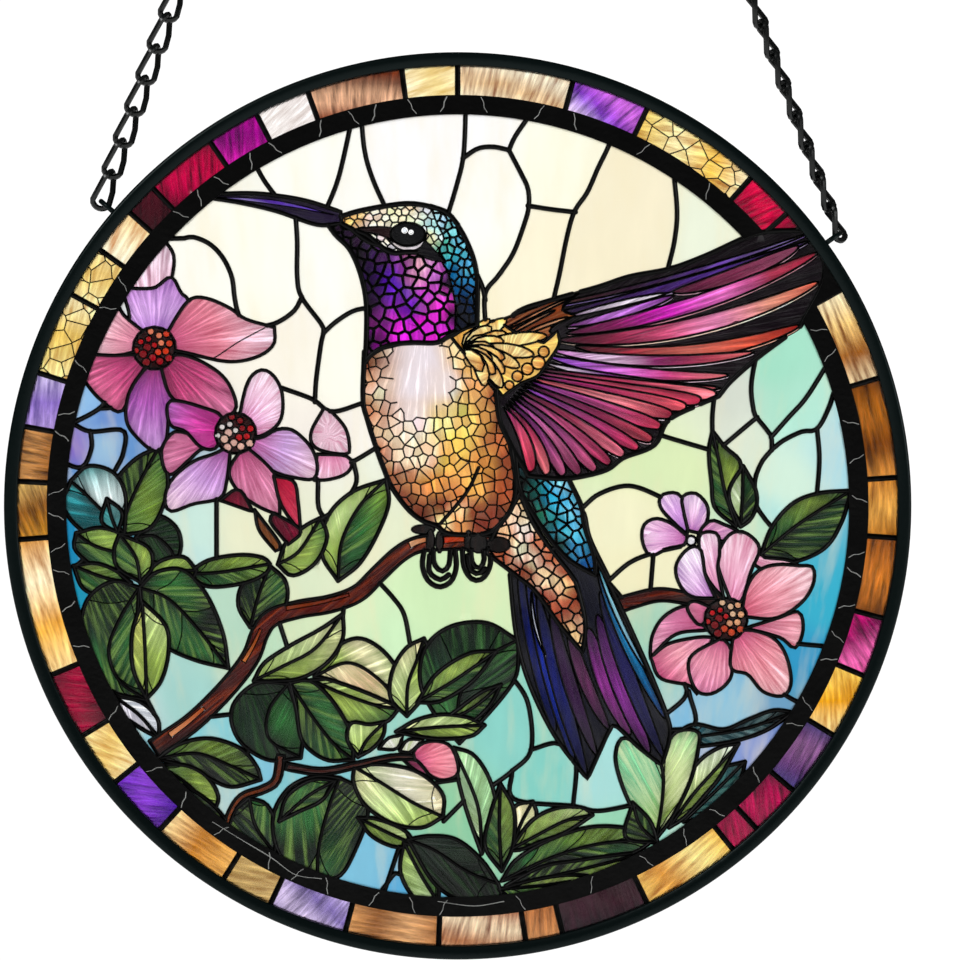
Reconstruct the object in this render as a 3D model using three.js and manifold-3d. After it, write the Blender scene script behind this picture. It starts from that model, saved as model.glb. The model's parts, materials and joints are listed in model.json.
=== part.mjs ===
// Round stained glass suncatcher: a hummingbird on a branch among blossoms, in a metal rim, on two curb chains.
// Millimetres. X is to the right, Y is to the back, Z is up. The origin is where a hook carries the hanging ring.

import * as THREE from "three";
import { mergeVertices } from "three/addons/utils/BufferGeometryUtils.js";
import Module from "manifold-3d";

// ---- sizes of the disc ----
const DISC_RADIUS = 100;
const RIM_INNER_RADIUS = 97;
const RIM_DEPTH = 7;
const RIM_ROUNDING = 0.8;
const RIM_FACETS = 72;
const BORDER_INNER_RADIUS = 90.4;
const PICTURE_RADIUS = 86.5;

// ---- glass and the soldered lines between the pieces of glass ----
const GLASS_THICKNESS = 3;
const SOLDER_DEPTH = 4.6;
const HALF_LINE = 0.65;
const FIT_GAP = 0.3;
const TILE_CLEARANCE_DEGREES = 0.35;

// ---- hanging ring, chains and the loops that hold them ----
const RING_RADIUS = 7;
const RING_WIRE_RADIUS = 0.8;
const DISC_CENTRE_BELOW_RING = 286.6;
const LINK_WIRE = 1;
const WIRE_SIDES = 3;
const LINK_PITCH = 7.25;
const LINK_WIDTH = 5.6;
const LINK_HALF_TWIST = 45;
const LINK_FUSE = 0.2;
const LINK_CORNERS = 6;
const LOOP_RADIUS = 2.5;
const LOOP_WIRE_RADIUS = 0.6;
const LOOP_OUT = 1;

// From the middle line of the three-sided wire out to its flat side, and in to its edge.
const WIRE_OUT = LINK_WIRE / 3;
const WIRE_IN = (2 / 3) * LINK_WIRE;

const RING_CENTRE_Z = -(RING_RADIUS - RING_WIRE_RADIUS);
const DISC_CENTRE_Z = RING_CENTRE_Z - DISC_CENTRE_BELOW_RING;

// Where each chain leaves the rim, and how far its links are turned about their run at the rim and at the ring.
const CHAINS = [
  { name: "chain_left", rimDegrees: -49.5, turnAtRim: 0, turnAtRing: 45 },
  { name: "chain_right", rimDegrees: 54.5, turnAtRim: 65, turnAtRing: 45 },
];

// ---- finishes ----
const BLACK_METAL = { color: 0x0b1414, roughness: 0.42, metalness: 0.85 };
const CHAIN_METAL = { color: 0x121414, roughness: 0.35, metalness: 0.9 };
const GLASS_FINISH = { roughness: 0.22, metalness: 0 };

// ---- the border: each tile's angles, clockwise from the top, and its glass ----
const BORDER = [
  { name: "tile_01_cream_streak", from: 0, to: 15, color: 0xe9cfae },
  { name: "tile_02_magenta", from: 15, to: 25.6, color: 0xb14fc0 },
  { name: "tile_03_gold", from: 25.6, to: 41.7, color: 0xf3cf73 },
  { name: "tile_04_ruby", from: 41.7, to: 50.6, color: 0xa80f38 },
  { name: "tile_05_cream_brown", from: 60.8, to: 73.2, color: 0xd9a45c },
  { name: "tile_06_brown", from: 73.2, to: 86.6, color: 0x8d5524 },
  { name: "tile_07_tan", from: 86.6, to: 94.8, color: 0xc07a35 },
  { name: "tile_08_rust", from: 94.8, to: 104.9, color: 0x9d5a2b },
  { name: "tile_09_pink", from: 104.9, to: 112.8, color: 0xc9267a },
  { name: "tile_10_gold", from: 112.8, to: 121.5, color: 0xf0b64a },
  { name: "tile_11_plum", from: 121.5, to: 130.6, color: 0x7a4479 },
  { name: "tile_12_ruby", from: 130.6, to: 141.4, color: 0x9b1743 },
  { name: "tile_13_amber_streak", from: 141.4, to: 154.6, color: 0xe0a04b },
  { name: "tile_14_maroon", from: 154.6, to: 166.3, color: 0x2c0f14 },
  { name: "tile_15_umber", from: 166.3, to: 171.1, color: 0xa9683f },
  { name: "tile_16_red_brown", from: 171.1, to: 182.6, color: 0xb06a45 },
  { name: "tile_17_tan", from: 182.6, to: 194.8, color: 0xb9865a },
  { name: "tile_18_violet_grey", from: 194.8, to: 205.2, color: 0x8a7bb0 },
  { name: "tile_19_khaki", from: 205.2, to: 212.2, color: 0xc5a261 },
  { name: "tile_20_amber_streak", from: 212.2, to: 222.6, color: 0xe7ad62 },
  { name: "tile_21_purple", from: 222.6, to: 231.2, color: 0x6a2ba6 },
  { name: "tile_22_cream", from: 231.2, to: 238.6, color: 0xf4dc9d },
  { name: "tile_23_ruby", from: 238.6, to: 247.4, color: 0x6d0d2a },
  { name: "tile_24_amber", from: 247.4, to: 265.7, color: 0xe9b866 },
  { name: "tile_25_mottled_gold", from: 265.7, to: 273.2, color: 0xc3863c },
  { name: "tile_26_brown_streak", from: 273.2, to: 280.4, color: 0xa86c3c },
  { name: "tile_27_light_violet", from: 280.4, to: 287.6, color: 0xb7a3d6 },
  { name: "tile_28_gold_crackle", from: 287.6, to: 298.7, color: 0xefd583 },
  { name: "tile_29_gold_crackle", from: 298.7, to: 305.7, color: 0xefdc93 },
  { name: "tile_30_cream", from: 305.7, to: 311.9, color: 0xf7e3bd },
  { name: "tile_31_ruby", from: 311.9, to: 325.6, color: 0xa0103a },
  { name: "tile_32_magenta", from: 325.6, to: 332.9, color: 0xc22f93 },
  { name: "tile_33_white", from: 332.9, to: 340.1, color: 0xf3f1ec },
  { name: "tile_34_red_brown", from: 340.1, to: 352.7, color: 0xc98f6b },
  { name: "tile_35_cream", from: 352.7, to: 360, color: 0xf6e7b8 },
];

// A blade is a petal, feather or leaf: it starts at one place, ends at another and is widest between them.
const blade = (x0, z0, x1, z1, width, bend = 0, blunt = 0.75) => ({ x0, z0, x1, z1, width, bend, blunt });

// An oval is given by its middle, its half length, its half width and the turn of its length from the X axis.
const oval = (x, z, halfLength, halfWidth, turn = 0) => ({ x, z, halfLength, halfWidth, turn });

// ---- the picture, nearest the viewer first, in millimetres from the middle of the disc ----
const PICTURE = [
  {
    name: "glass_bird_head",
    color: 0x7b4f8f,
    shapes: [blade(-18, 60, -58, 69, 5, -0.05, 0.5), oval(-10, 56.5, 15.5, 9.6, -6), oval(-8, 48, 12.3, 13.6, 88)],
  },
  {
    name: "glass_bird_wing",
    color: 0xa3357f,
    shapes: [
      oval(10, 31, 10, 6.5, 20),
      blade(2, 35, 79, 58.5, 9, -0.05),
      blade(6, 33, 80, 53.5, 13, -0.06),
      blade(8, 31, 74, 40, 15, -0.03),
      blade(8, 29, 59, 28, 14, 0.02),
      blade(8, 27, 47, 17.5, 14, 0.04),
      blade(8, 26, 34, 9.5, 14, 0.05),
    ],
  },
  {
    name: "glass_bird_body",
    color: 0xdca965,
    shapes: [oval(-4.2, 16.5, 24, 15.6, 100)],
  },
  {
    name: "glass_bird_tail",
    color: 0x2c3f84,
    shapes: [
      blade(13, 12, 41, -40, 14, 0.03),
      blade(6, -4, 31, -42, 11, 0.04),
      blade(12, -10, 28, -60, 15, -0.02),
      blade(24, -14, 46.5, -58, 15, 0.02),
    ],
  },
  {
    name: "glass_blossom_left",
    color: 0xc45a92,
    shapes: [
      oval(-66.5, 34.5, 6, 6),
      blade(-67, 34, -66, 59, 13, -0.05, 0.5),
      blade(-66, 34, -83, 47, 12, 0, 0.5),
      blade(-66, 34, -85, 27, 14, 0, 0.5),
      blade(-67, 33, -67, 12, 11, 0, 0.5),
      blade(-65, 34, -50, 19.5, 11, 0.1, 0.5),
      blade(-66, 35, -41, 37, 13.5, -0.05, 0.5),
    ],
  },
  {
    name: "glass_blossom_middle",
    color: 0xe3a6c6,
    shapes: [
      oval(-49, 16, 5.5, 5.5),
      blade(-48, 14, -42, 31, 9, 0, 0.5),
      blade(-49, 14, -30.5, 8, 11, 0.12, 0.5),
      blade(-49, 15, -39.5, -4, 11, 0.05, 0.5),
      blade(-49, 15, -65, -1, 11, 0, 0.5),
      blade(-50, 15, -66, 11, 8, 0.1, 0.5),
    ],
  },
  {
    name: "glass_blossom_right",
    color: 0xe48a9c,
    shapes: [
      oval(59.5, -25, 6.5, 6.5),
      blade(60, -24, 50, -9.5, 9, 0, 0.5),
      blade(59, -24, 62.5, -6, 10, 0, 0.5),
      blade(60, -25, 77.5, -13, 11, 0, 0.5),
      blade(60, -25, 76, -29, 10, 0, 0.5),
      blade(60, -25, 72.5, -42, 11, 0.08, 0.5),
      blade(59, -25, 53.5, -42, 13, 0, 0.5),
      blade(60, -25, 41, -34, 11, 0.05, 0.5),
      blade(54, -4, 42, -7, 8, 0.1, 0.5),
      blade(55, -12, 48.5, 4, 9, 0, 0.5),
    ],
  },
  {
    name: "glass_leaves_right",
    color: 0x2f5a2e,
    shapes: [blade(64, -10, 87, 3.5, 11, -0.05, 0.6), blade(64, -10.5, 56, 16.5, 8.5, 0, 0.6)],
  },
  {
    name: "glass_branch",
    color: 0x5b1712,
    path: [[-66.5, -53], [-52, -39], [-45.5, -29], [-40, -22.8], [-26, -20.5], [-15, -12], [-7, -8], [4, -8.3], [12, -9]],
    width: 3.9,
  },
  {
    name: "glass_leaves_left",
    color: 0x33582f,
    shapes: [
      blade(-72, -9, -66, 12, 7.5, 0.05, 0.6),
      blade(-74, -6, -84, 6, 10, 0.1, 0.6),
      blade(-73, -8, -61.5, -6, 13, 0, 0.5),
      blade(-68, -4, -71, -19, 9, 0, 0.5),
      blade(-71, -15, -81, -31, 13, 0, 0.6),
      blade(-71, -15, -50, -35, 15, -0.05, 0.6),
      blade(-72, -22, -69, -43, 14, 0, 0.6),
    ],
  },
  {
    name: "glass_leaves_branch",
    color: 0x7d8f45,
    shapes: [blade(-27, -20, -15.5, 5.5, 9, 0.12, 0.6), blade(-40, -16, -29, -1, 6.5, 0.05, 0.6)],
  },
  {
    name: "glass_leaves_middle",
    color: 0x6f8d44,
    shapes: [
      blade(-46, -38, -13, -41.5, 13, 0.05, 0.6),
      blade(-40, -37, -24, -26, 7, 0, 0.6),
      blade(-15, -46, -8, -27, 7, 0, 0.6),
      blade(-12, -48, 13, -28, 16, 0.06, 0.6),
      blade(-38, -57, -38, -37, 19, 0, 0.5),
      blade(-24, -58, -36, -38, 9, 0, 0.6),
      blade(-22, -51, 7, -46, 7, 0.1, 0.6),
    ],
  },
  {
    name: "glass_leaves_low",
    color: 0x2c5330,
    shapes: [
      blade(-67, -55, -45, -68, 15, 0, 0.5),
      blade(-28, -58, -42, -86, 22, 0, 0.5),
      blade(-26, -57, -24, -84, 13, 0, 0.5),
      blade(-23, -58, -2, -72, 10, 0.1, 0.5),
      blade(-14, -72, 9, -88, 20, 0.05, 0.5),
      blade(5, -84, 45, -76, 17, 0.05, 0.5),
      blade(10, -84, 9, -62, 6, 0, 0.6),
      blade(42, -78, 42, -52, 15, 0, 0.45),
      blade(43, -76, 61, -52, 9, 0, 0.6),
    ],
  },
];

// What is left round the figures is background glass: one piece at each of these places.
const BACKGROUND = [
  { name: "glass_sky_top", x: 20, z: 75, color: 0xfdf8ea },
  { name: "glass_sky_left", x: -30, z: 50, color: 0xfdf9e4 },
  { name: "glass_sky_edge", x: -79, z: 19, color: 0x7fb6dd },
  { name: "glass_sky_branch", x: 2, z: -20, color: 0xd4efcf },
  { name: "glass_sky_low_left", x: -62, z: -42, color: 0x93cfd4 },
  { name: "glass_sky_low_right", x: 30, z: -62, color: 0xa3dcd9 },
  { name: "glass_sky_right", x: 70, z: 20, color: 0xcfeee0 },
];

const BLADE_STEPS = 4;
const OVAL_STEPS = 14;
const DISC_STEPS = 60;
const SMALLEST_STEP = 0.05;

const { Manifold, Mesh } = await startManifold();

async function startManifold() {
  const wasm = await Module();
  wasm.setup();
  return wasm;
}

// ---- between three.js geometry and closed solids ----

function toSolid(geometry) {
  const bare = geometry.clone();
  bare.deleteAttribute("normal");
  bare.deleteAttribute("uv");
  const merged = mergeVertices(bare, 1e-4);
  return new Manifold(
    new Mesh({
      numProp: 3,
      vertProperties: new Float32Array(merged.attributes.position.array),
      triVerts: new Uint32Array(merged.index.array),
    }),
  );
}

function toGeometry(solid) {
  const mesh = solid.getMesh();
  const geometry = new THREE.BufferGeometry();
  geometry.setAttribute("position", new THREE.BufferAttribute(new Float32Array(mesh.vertProperties), 3));
  geometry.setIndex(new THREE.BufferAttribute(new Uint32Array(mesh.triVerts), 1));
  geometry.computeVertexNormals();
  return geometry;
}

function joined(solids) {
  return solids.reduce((all, one) => all.add(one));
}

function biggest(solid) {
  const pieces = solid.decompose();
  return pieces.reduce((best, piece) => (piece.volume() > best.volume() ? piece : best));
}

// A flat slab of one outline, centred on Y = 0. Outline points are [x, z].
function slab(points, depth) {
  const shape = new THREE.Shape(points.map(([x, z]) => new THREE.Vector2(x, z)));
  const geometry = new THREE.ExtrudeGeometry(shape, { depth, bevelEnabled: false });
  geometry.translate(0, 0, -depth / 2);
  geometry.rotateX(Math.PI / 2);
  return toSolid(geometry);
}

// ---- outlines ----

function discOutline(radius, steps) {
  return Array.from({ length: steps }, (_, i) => {
    const angle = (2 * Math.PI * i) / steps;
    return [radius * Math.cos(angle), radius * Math.sin(angle)];
  });
}

function ovalOutline({ x, z, halfLength, halfWidth, turn }, grow) {
  const tilt = THREE.MathUtils.degToRad(turn);
  return discOutline(1, OVAL_STEPS).map(([along, across]) => {
    const u = along * (halfLength + grow);
    const v = across * (halfWidth + grow);
    return [x + u * Math.cos(tilt) - v * Math.sin(tilt), z + u * Math.sin(tilt) + v * Math.cos(tilt)];
  });
}

// Half width along a blade: s^p (1 - s)^p scaled to 1 at the middle; the spine bows sideways by bend times the length.
function bladeOutline({ x0, z0, x1, z1, width, bend, blunt }, grow) {
  const length = Math.hypot(x1 - x0, z1 - z0);
  const [ux, uz] = [(x1 - x0) / length, (z1 - z0) / length];
  const side = (sign, s) => {
    const along = s * length + grow * (2 * s - 1);
    const half = (width / 2) * Math.pow(4 * s * (1 - s), blunt);
    const bow = bend * length * 4 * s * (1 - s);
    const edge = s > 0 && s < 1 ? sign * Math.max(half + grow, 0.15) : 0;
    const across = bow + edge;
    return [x0 + ux * along - uz * across, z0 + uz * along + ux * across];
  };
  const steps = Array.from({ length: BLADE_STEPS + 1 }, (_, i) => (1 - Math.cos((Math.PI * i) / BLADE_STEPS)) / 2);
  const right = steps.map((s) => side(-1, s));
  const left = steps.slice(1, -1).reverse().map((s) => side(1, s));
  return [...right, ...left];
}

// A strip of even width along a smooth path.
function pathOutline(path, width, grow) {
  const curve = new THREE.CatmullRomCurve3(path.map(([x, z]) => new THREE.Vector3(x, 0, z)));
  const count = 2 * path.length;
  const edge = (sign) =>
    Array.from({ length: count + 1 }, (_, i) => {
      const place = curve.getPointAt(i / count);
      const way = curve.getTangentAt(i / count);
      const out = sign * (width / 2 + grow);
      return [place.x - way.z * out, place.z + way.x * out];
    });
  return [...edge(-1), ...edge(1).reverse()];
}

function figureSolid(figure, grow, depth) {
  if (figure.path) {
    return slab(pathOutline(figure.path, figure.width, grow), depth);
  }
  const outlines = figure.shapes.map((shape) =>
    "turn" in shape ? ovalOutline(shape, grow) : bladeOutline(shape, grow),
  );
  return joined(outlines.map((points) => slab(points, depth)));
}

// ---- the picture's glass ----

// Every figure and background piece, kept back by "inset" from the middle of the line round it.
function pictureBodies(inset, depth) {
  const picture = slab(discOutline(PICTURE_RADIUS - inset, DISC_STEPS), depth);
  const wholeDisc = slab(discOutline(RIM_INNER_RADIUS - inset - 0.6, DISC_STEPS), depth);
  const bodies = new Map();
  let covered = null;
  for (const figure of PICTURE) {
    const room = figure.name === "glass_bird_wing" ? wholeDisc : picture;
    let body = figureSolid(figure, -inset, depth).intersect(room);
    if (covered) {
      body = body.subtract(covered);
    }
    bodies.set(figure.name, biggest(body));
    const reach = figureSolid(figure, inset, depth + 1);
    covered = covered ? covered.add(reach) : reach;
  }
  const rest = picture.subtract(covered).decompose();
  for (const spot of BACKGROUND) {
    const probe = slab(discOutline(0.3, 6).map(([x, z]) => [x + spot.x, z + spot.z]), depth);
    bodies.set(spot.name, rest.find((piece) => piece.intersect(probe).volume() > 0.01));
  }
  return bodies;
}

// ---- border tiles ----

const clockwise = (degrees) => THREE.MathUtils.degToRad(90 - degrees);

function sectorOutline(from, to, inner, outer) {
  const steps = Math.max(2, Math.round((to - from) / 4));
  const arc = (radius) =>
    Array.from({ length: steps + 1 }, (_, i) => {
      const angle = clockwise(from + ((to - from) * i) / steps);
      return [radius * Math.cos(angle), radius * Math.sin(angle)];
    });
  return [...arc(outer), ...arc(inner).reverse()];
}

function tileSolid(tile, gap, depth) {
  const margin = TILE_CLEARANCE_DEGREES + THREE.MathUtils.radToDeg(gap / BORDER_INNER_RADIUS);
  const inner = BORDER_INNER_RADIUS + gap;
  const outer = RIM_INNER_RADIUS - 0.7 - gap;
  return slab(sectorOutline(tile.from + margin, tile.to - margin, inner, outer), depth);
}

// ---- metal ----

function ringSolid(outlinePoints, facets) {
  const profile = [...outlinePoints, outlinePoints[0]].map(([r, y]) => new THREE.Vector2(r, y));
  return toSolid(new THREE.LatheGeometry(profile, facets));
}

function rimSolid() {
  const half = RIM_DEPTH / 2;
  const soft = RIM_ROUNDING;
  const section = [
    [RIM_INNER_RADIUS, -half],
    [DISC_RADIUS - soft, -half],
    [DISC_RADIUS, -half + soft],
    [DISC_RADIUS, half - soft],
    [DISC_RADIUS - soft, half],
    [RIM_INNER_RADIUS, half],
  ];
  const hoop = ringSolid(section, RIM_FACETS);
  return joined([hoop, ...CHAINS.map(loopSolid)]);
}

// A wire loop that stands on the rim across the plane of the disc, cut off inside the rim.
function loopSolid(chain) {
  const torus = new THREE.TorusGeometry(LOOP_RADIUS, LOOP_WIRE_RADIUS, 5, 14);
  torus.rotateY(Math.PI / 2);
  torus.translate(0, 0, DISC_RADIUS + LOOP_OUT);
  torus.rotateY(THREE.MathUtils.degToRad(chain.rimDegrees));
  const core = new THREE.CylinderGeometry(RIM_INNER_RADIUS + 1, RIM_INNER_RADIUS + 1, 20, RIM_FACETS);
  return toSolid(torus).subtract(toSolid(core));
}

function hangingRingSolid() {
  const torus = new THREE.TorusGeometry(RING_RADIUS, RING_WIRE_RADIUS, 6, 28);
  torus.rotateX(Math.PI / 2);
  return toSolid(torus);
}

// One link: a wire round a long oval whose width direction turns steadily from its lower end to its upper end.
function linkSolid(centre, runFrame, turnDegrees, linkLength) {
  const halfWidth = LINK_WIDTH / 2 - WIRE_OUT;
  const halfLength = linkLength / 2 - WIRE_OUT;
  const straight = halfLength - halfWidth;
  const points = Array.from({ length: LINK_CORNERS }, (_, i) => {
    const angle = (2 * Math.PI * (i + 0.5)) / LINK_CORNERS;
    const across = (Math.cos(angle) * halfWidth) / Math.cos(Math.PI / LINK_CORNERS);
    const along = Math.sin(angle) * halfWidth + Math.sign(Math.sin(angle)) * straight;
    const twist = THREE.MathUtils.degToRad(turnDegrees + (LINK_HALF_TWIST * along) / halfLength);
    return new THREE.Vector3(across * Math.cos(twist), across * Math.sin(twist), along)
      .applyMatrix4(runFrame)
      .add(centre);
  });
  return wireLoop(points);
}

// A three-sided wire round a closed ring of points, as one closed skin. An edge of it faces the middle of the ring.
function wireLoop(points) {
  const count = points.length;
  const middle = points.reduce((sum, p) => sum.add(p), new THREE.Vector3()).divideScalar(count);
  const positions = [];
  const index = [];
  points.forEach((point, i) => {
    const before = points[(i + count - 1) % count];
    const after = points[(i + 1) % count];
    const way = after.clone().sub(before).normalize();
    const out = point.clone().sub(middle);
    out.addScaledVector(way, -out.dot(way)).normalize();
    const over = way.clone().cross(out);
    for (let k = 0; k < WIRE_SIDES; k += 1) {
      const angle = (2 * Math.PI * k) / WIRE_SIDES;
      const corner = point
        .clone()
        .addScaledVector(out, -WIRE_IN * Math.cos(angle))
        .addScaledVector(over, -WIRE_IN * Math.sin(angle));
      positions.push(corner.x, corner.y, corner.z);
      const a = i * WIRE_SIDES + k;
      const b = i * WIRE_SIDES + ((k + 1) % WIRE_SIDES);
      const c = ((i + 1) % count) * WIRE_SIDES + k;
      const d = ((i + 1) % count) * WIRE_SIDES + ((k + 1) % WIRE_SIDES);
      index.push(a, d, c, a, b, d);
    }
  });
  const geometry = new THREE.BufferGeometry();
  geometry.setAttribute("position", new THREE.Float32BufferAttribute(positions, 3));
  geometry.setAttribute("normal", new THREE.Float32BufferAttribute(positions, 3));
  geometry.setAttribute("uv", new THREE.Float32BufferAttribute(new Array((positions.length / 3) * 2).fill(0), 2));
  geometry.setIndex(index);
  return toSolid(geometry);
}

// A run of equal links from the rim's loop to the hanging ring. Neighbours are fused a little where they touch,
// so the length of a link follows from the run and the number of links.
function chainSolid(chain) {
  const around = clockwise(chain.rimDegrees);
  const loopTop = DISC_RADIUS + LOOP_OUT + LOOP_RADIUS;
  const foot = new THREE.Vector3(loopTop * Math.cos(around), 0, DISC_CENTRE_Z + loopTop * Math.sin(around));
  const head = new THREE.Vector3(0, 0, RING_CENTRE_Z);
  const way = head.clone().sub(foot).normalize();
  foot.addScaledVector(way, -(LOOP_WIRE_RADIUS + FIT_GAP));
  head.addScaledVector(way, -(RING_RADIUS - RING_WIRE_RADIUS - FIT_GAP));
  const overall = head.distanceTo(foot) + 2 * LINK_WIRE;
  const lost = 2 * LINK_WIRE - LINK_FUSE;
  const links = Math.round((overall - lost) / LINK_PITCH);
  const linkLength = (overall + (links - 1) * lost) / links;
  const sideways = new THREE.Vector3(0, 1, 0).cross(way).normalize();
  const runFrame = new THREE.Matrix4().makeBasis(sideways, way.clone().cross(sideways), way);
  const bodies = Array.from({ length: links }, (_, i) => {
    const along = linkLength / 2 - LINK_WIRE + i * (linkLength - lost);
    const turn = THREE.MathUtils.lerp(chain.turnAtRim, chain.turnAtRing, i / (links - 1));
    return linkSolid(foot.clone().addScaledVector(way, along), runFrame, turn, linkLength);
  });
  return joined(bodies);
}

// ---- putting it together ----

function namedMesh(name, solid, finish) {
  const mesh = new THREE.Mesh(toGeometry(solid.simplify(SMALLEST_STEP)), new THREE.MeshStandardMaterial(finish));
  mesh.name = name;
  return mesh;
}

function solderSolid(openings) {
  let solder = slab(discOutline(RIM_INNER_RADIUS - FIT_GAP, DISC_STEPS), SOLDER_DEPTH);
  for (const opening of openings.values()) {
    solder = solder.subtract(opening);
  }
  for (const tile of BORDER) {
    solder = solder.subtract(tileSolid(tile, 0, SOLDER_DEPTH + 2));
  }
  return biggest(solder);
}

function discGroup() {
  const disc = new THREE.Group();
  disc.position.z = DISC_CENTRE_Z;
  disc.add(namedMesh("rim", rimSolid(), BLACK_METAL));
  disc.add(namedMesh("solder_lines", solderSolid(pictureBodies(HALF_LINE, SOLDER_DEPTH + 2)), BLACK_METAL));
  const panes = pictureBodies(HALF_LINE + FIT_GAP, GLASS_THICKNESS);
  for (const piece of [...PICTURE, ...BACKGROUND]) {
    disc.add(namedMesh(piece.name, panes.get(piece.name), { ...GLASS_FINISH, color: piece.color }));
  }
  for (const tile of BORDER) {
    const body = tileSolid(tile, FIT_GAP, GLASS_THICKNESS);
    disc.add(namedMesh(tile.name, body, { ...GLASS_FINISH, color: tile.color }));
  }
  return disc;
}

function hangerGroup() {
  const hanger = new THREE.Group();
  const ring = namedMesh("hanging_ring", hangingRingSolid(), CHAIN_METAL);
  ring.position.z = RING_CENTRE_Z;
  hanger.add(ring);
  for (const chain of CHAINS) {
    hanger.add(namedMesh(chain.name, chainSolid(chain), CHAIN_METAL));
  }
  return hanger;
}

const suncatcher = new THREE.Group();
suncatcher.name = "stained_glass_suncatcher";
suncatcher.add(discGroup(), hangerGroup());

export default suncatcher;
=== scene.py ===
# %% [markdown]
# # A round stained glass suncatcher, hung on two chains
#
# The real thing is a disc of coloured glass. Pieces of glass are cut to a drawing, each edge is wrapped or
# held in lead, and the seams are soldered and blackened. A metal rim holds the edge, a ring of plain tiles
# frames the picture, and two curb chains lead up to one hanging ring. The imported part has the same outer
# sizes and says where the disc is. This script gives the drawing, the glass, the black lines and the light.

import json
import math

import bpy
import numpy as np
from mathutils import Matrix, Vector
from mathutils.geometry import delaunay_2d_cdt


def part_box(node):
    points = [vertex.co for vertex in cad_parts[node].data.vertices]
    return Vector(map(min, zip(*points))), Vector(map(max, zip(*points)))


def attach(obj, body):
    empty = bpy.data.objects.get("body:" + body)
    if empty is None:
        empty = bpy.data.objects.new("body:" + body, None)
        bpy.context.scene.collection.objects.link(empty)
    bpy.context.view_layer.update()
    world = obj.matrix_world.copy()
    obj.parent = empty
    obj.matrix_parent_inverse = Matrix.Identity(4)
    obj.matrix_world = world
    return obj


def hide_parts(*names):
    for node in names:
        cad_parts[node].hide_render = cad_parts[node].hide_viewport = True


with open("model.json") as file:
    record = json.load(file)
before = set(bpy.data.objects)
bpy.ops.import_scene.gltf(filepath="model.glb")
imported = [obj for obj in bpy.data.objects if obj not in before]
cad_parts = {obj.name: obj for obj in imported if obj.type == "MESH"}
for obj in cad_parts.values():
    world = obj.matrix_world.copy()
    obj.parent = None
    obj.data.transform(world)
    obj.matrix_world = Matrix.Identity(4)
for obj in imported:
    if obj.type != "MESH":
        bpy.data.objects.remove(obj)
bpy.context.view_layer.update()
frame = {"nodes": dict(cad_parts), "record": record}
print("nodes in the packed part:", len(frame["nodes"]))

# %% [markdown]
# ## Sizes
#
# The drawing is made in millimetres from the middle of the disc, x to the right and z up, because that is
# how a glazier's paper pattern reads. One function at the end moves it to its place on the part, in metres.
# The middle of the disc is found from the rim's own box.

# %% Sizes of the disc and of its lines
MM = 0.001
DISC_RADIUS = 100.0
DISC_CENTRE_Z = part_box("rim")[0].z / MM + DISC_RADIUS
RIM_INNER = 97.0
RIM_DEPTH = 7.0
GLASS_EDGE = 98.2
BAND_OUTER = 90.4
BAND_INNER = 86.5
GLASS_HALF = 1.5
BAND_HALF = 2.3

LEAD = 0.56
FINE_LEAD = 0.4
VEIN = 0.13
SCALE_LINE = 0.2
NO_LINE = 0.0

print("middle of the disc:", round(DISC_CENTRE_Z, 2), "mm")


# %% Colours, and places given by the clock
def linear(code):
    """A colour code such as "f0b64a" as linear light: the usual curve, power 2.4 with a straight foot."""
    parts = np.array([int(code[i : i + 2], 16) / 255 for i in (0, 2, 4)])
    return np.where(parts <= 0.04045, parts / 12.92, ((parts + 0.055) / 1.055) ** 2.4)


def clock(degrees, radius):
    """Points at an angle clockwise from the top and a distance from the middle."""
    angle = np.radians(np.asarray(degrees, float))
    return np.stack([radius * np.sin(angle), radius * np.cos(angle)], -1)


print("three o'clock on the rim:", clock(90, DISC_RADIUS).round(2))

# %% [markdown]
# ## Drawing smooth outlines
#
# A glazier draws few points and bends the line through them. `bend` does that with a cubic between each
# pair of points whose slope at a point follows its two neighbours. A point marked as a corner ends one bend
# and starts the next, as at the point of a petal. Feathers come as a formula instead: a spine with a width
# that grows from the root and closes at the tip.

# %% Lines through points
STEP = 1.1


def along_line(points, step):
    """The same line with points evenly spaced, about step apart; the ends stay where they are."""
    lengths = np.r_[0, np.cumsum(np.hypot(*np.diff(points, axis=0).T))]
    count = max(2, int(round(lengths[-1] / step)) + 1)
    places = np.linspace(0, lengths[-1], count)
    return np.stack([np.interp(places, lengths, points[:, k]) for k in (0, 1)], -1)


def unit(steps):
    """The same vectors, each of length 1."""
    return steps / np.maximum(np.hypot(*steps.T), 1e-9)[:, None]


def left_of(way):
    """Each vector turned a quarter turn to its left."""
    return np.stack([-way[:, 1], way[:, 0]], -1)


def bend_open(points):
    """Cubics through the points: each slope is half the difference of the two neighbours."""
    points = np.asarray(points, float)
    if len(points) == 2:
        return points
    before = np.vstack([2 * points[0] - points[1], points[:-1]])
    after = np.vstack([points[1:], 2 * points[-1] - points[-2]])
    slope = (after - before) / 2
    t = np.linspace(0, 1, 9)[None, :, None]
    a, b = points[:-1, None], points[1:, None]
    m, n = slope[:-1, None], slope[1:, None]
    spans = (
        (2 * t**3 - 3 * t**2 + 1) * a
        + (t**3 - 2 * t**2 + t) * m
        + (3 * t**2 - 2 * t**3) * b
        + (t**3 - t**2) * n
    )
    return np.vstack([spans[:, :-1].reshape(-1, 2), points[-1:]])


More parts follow.
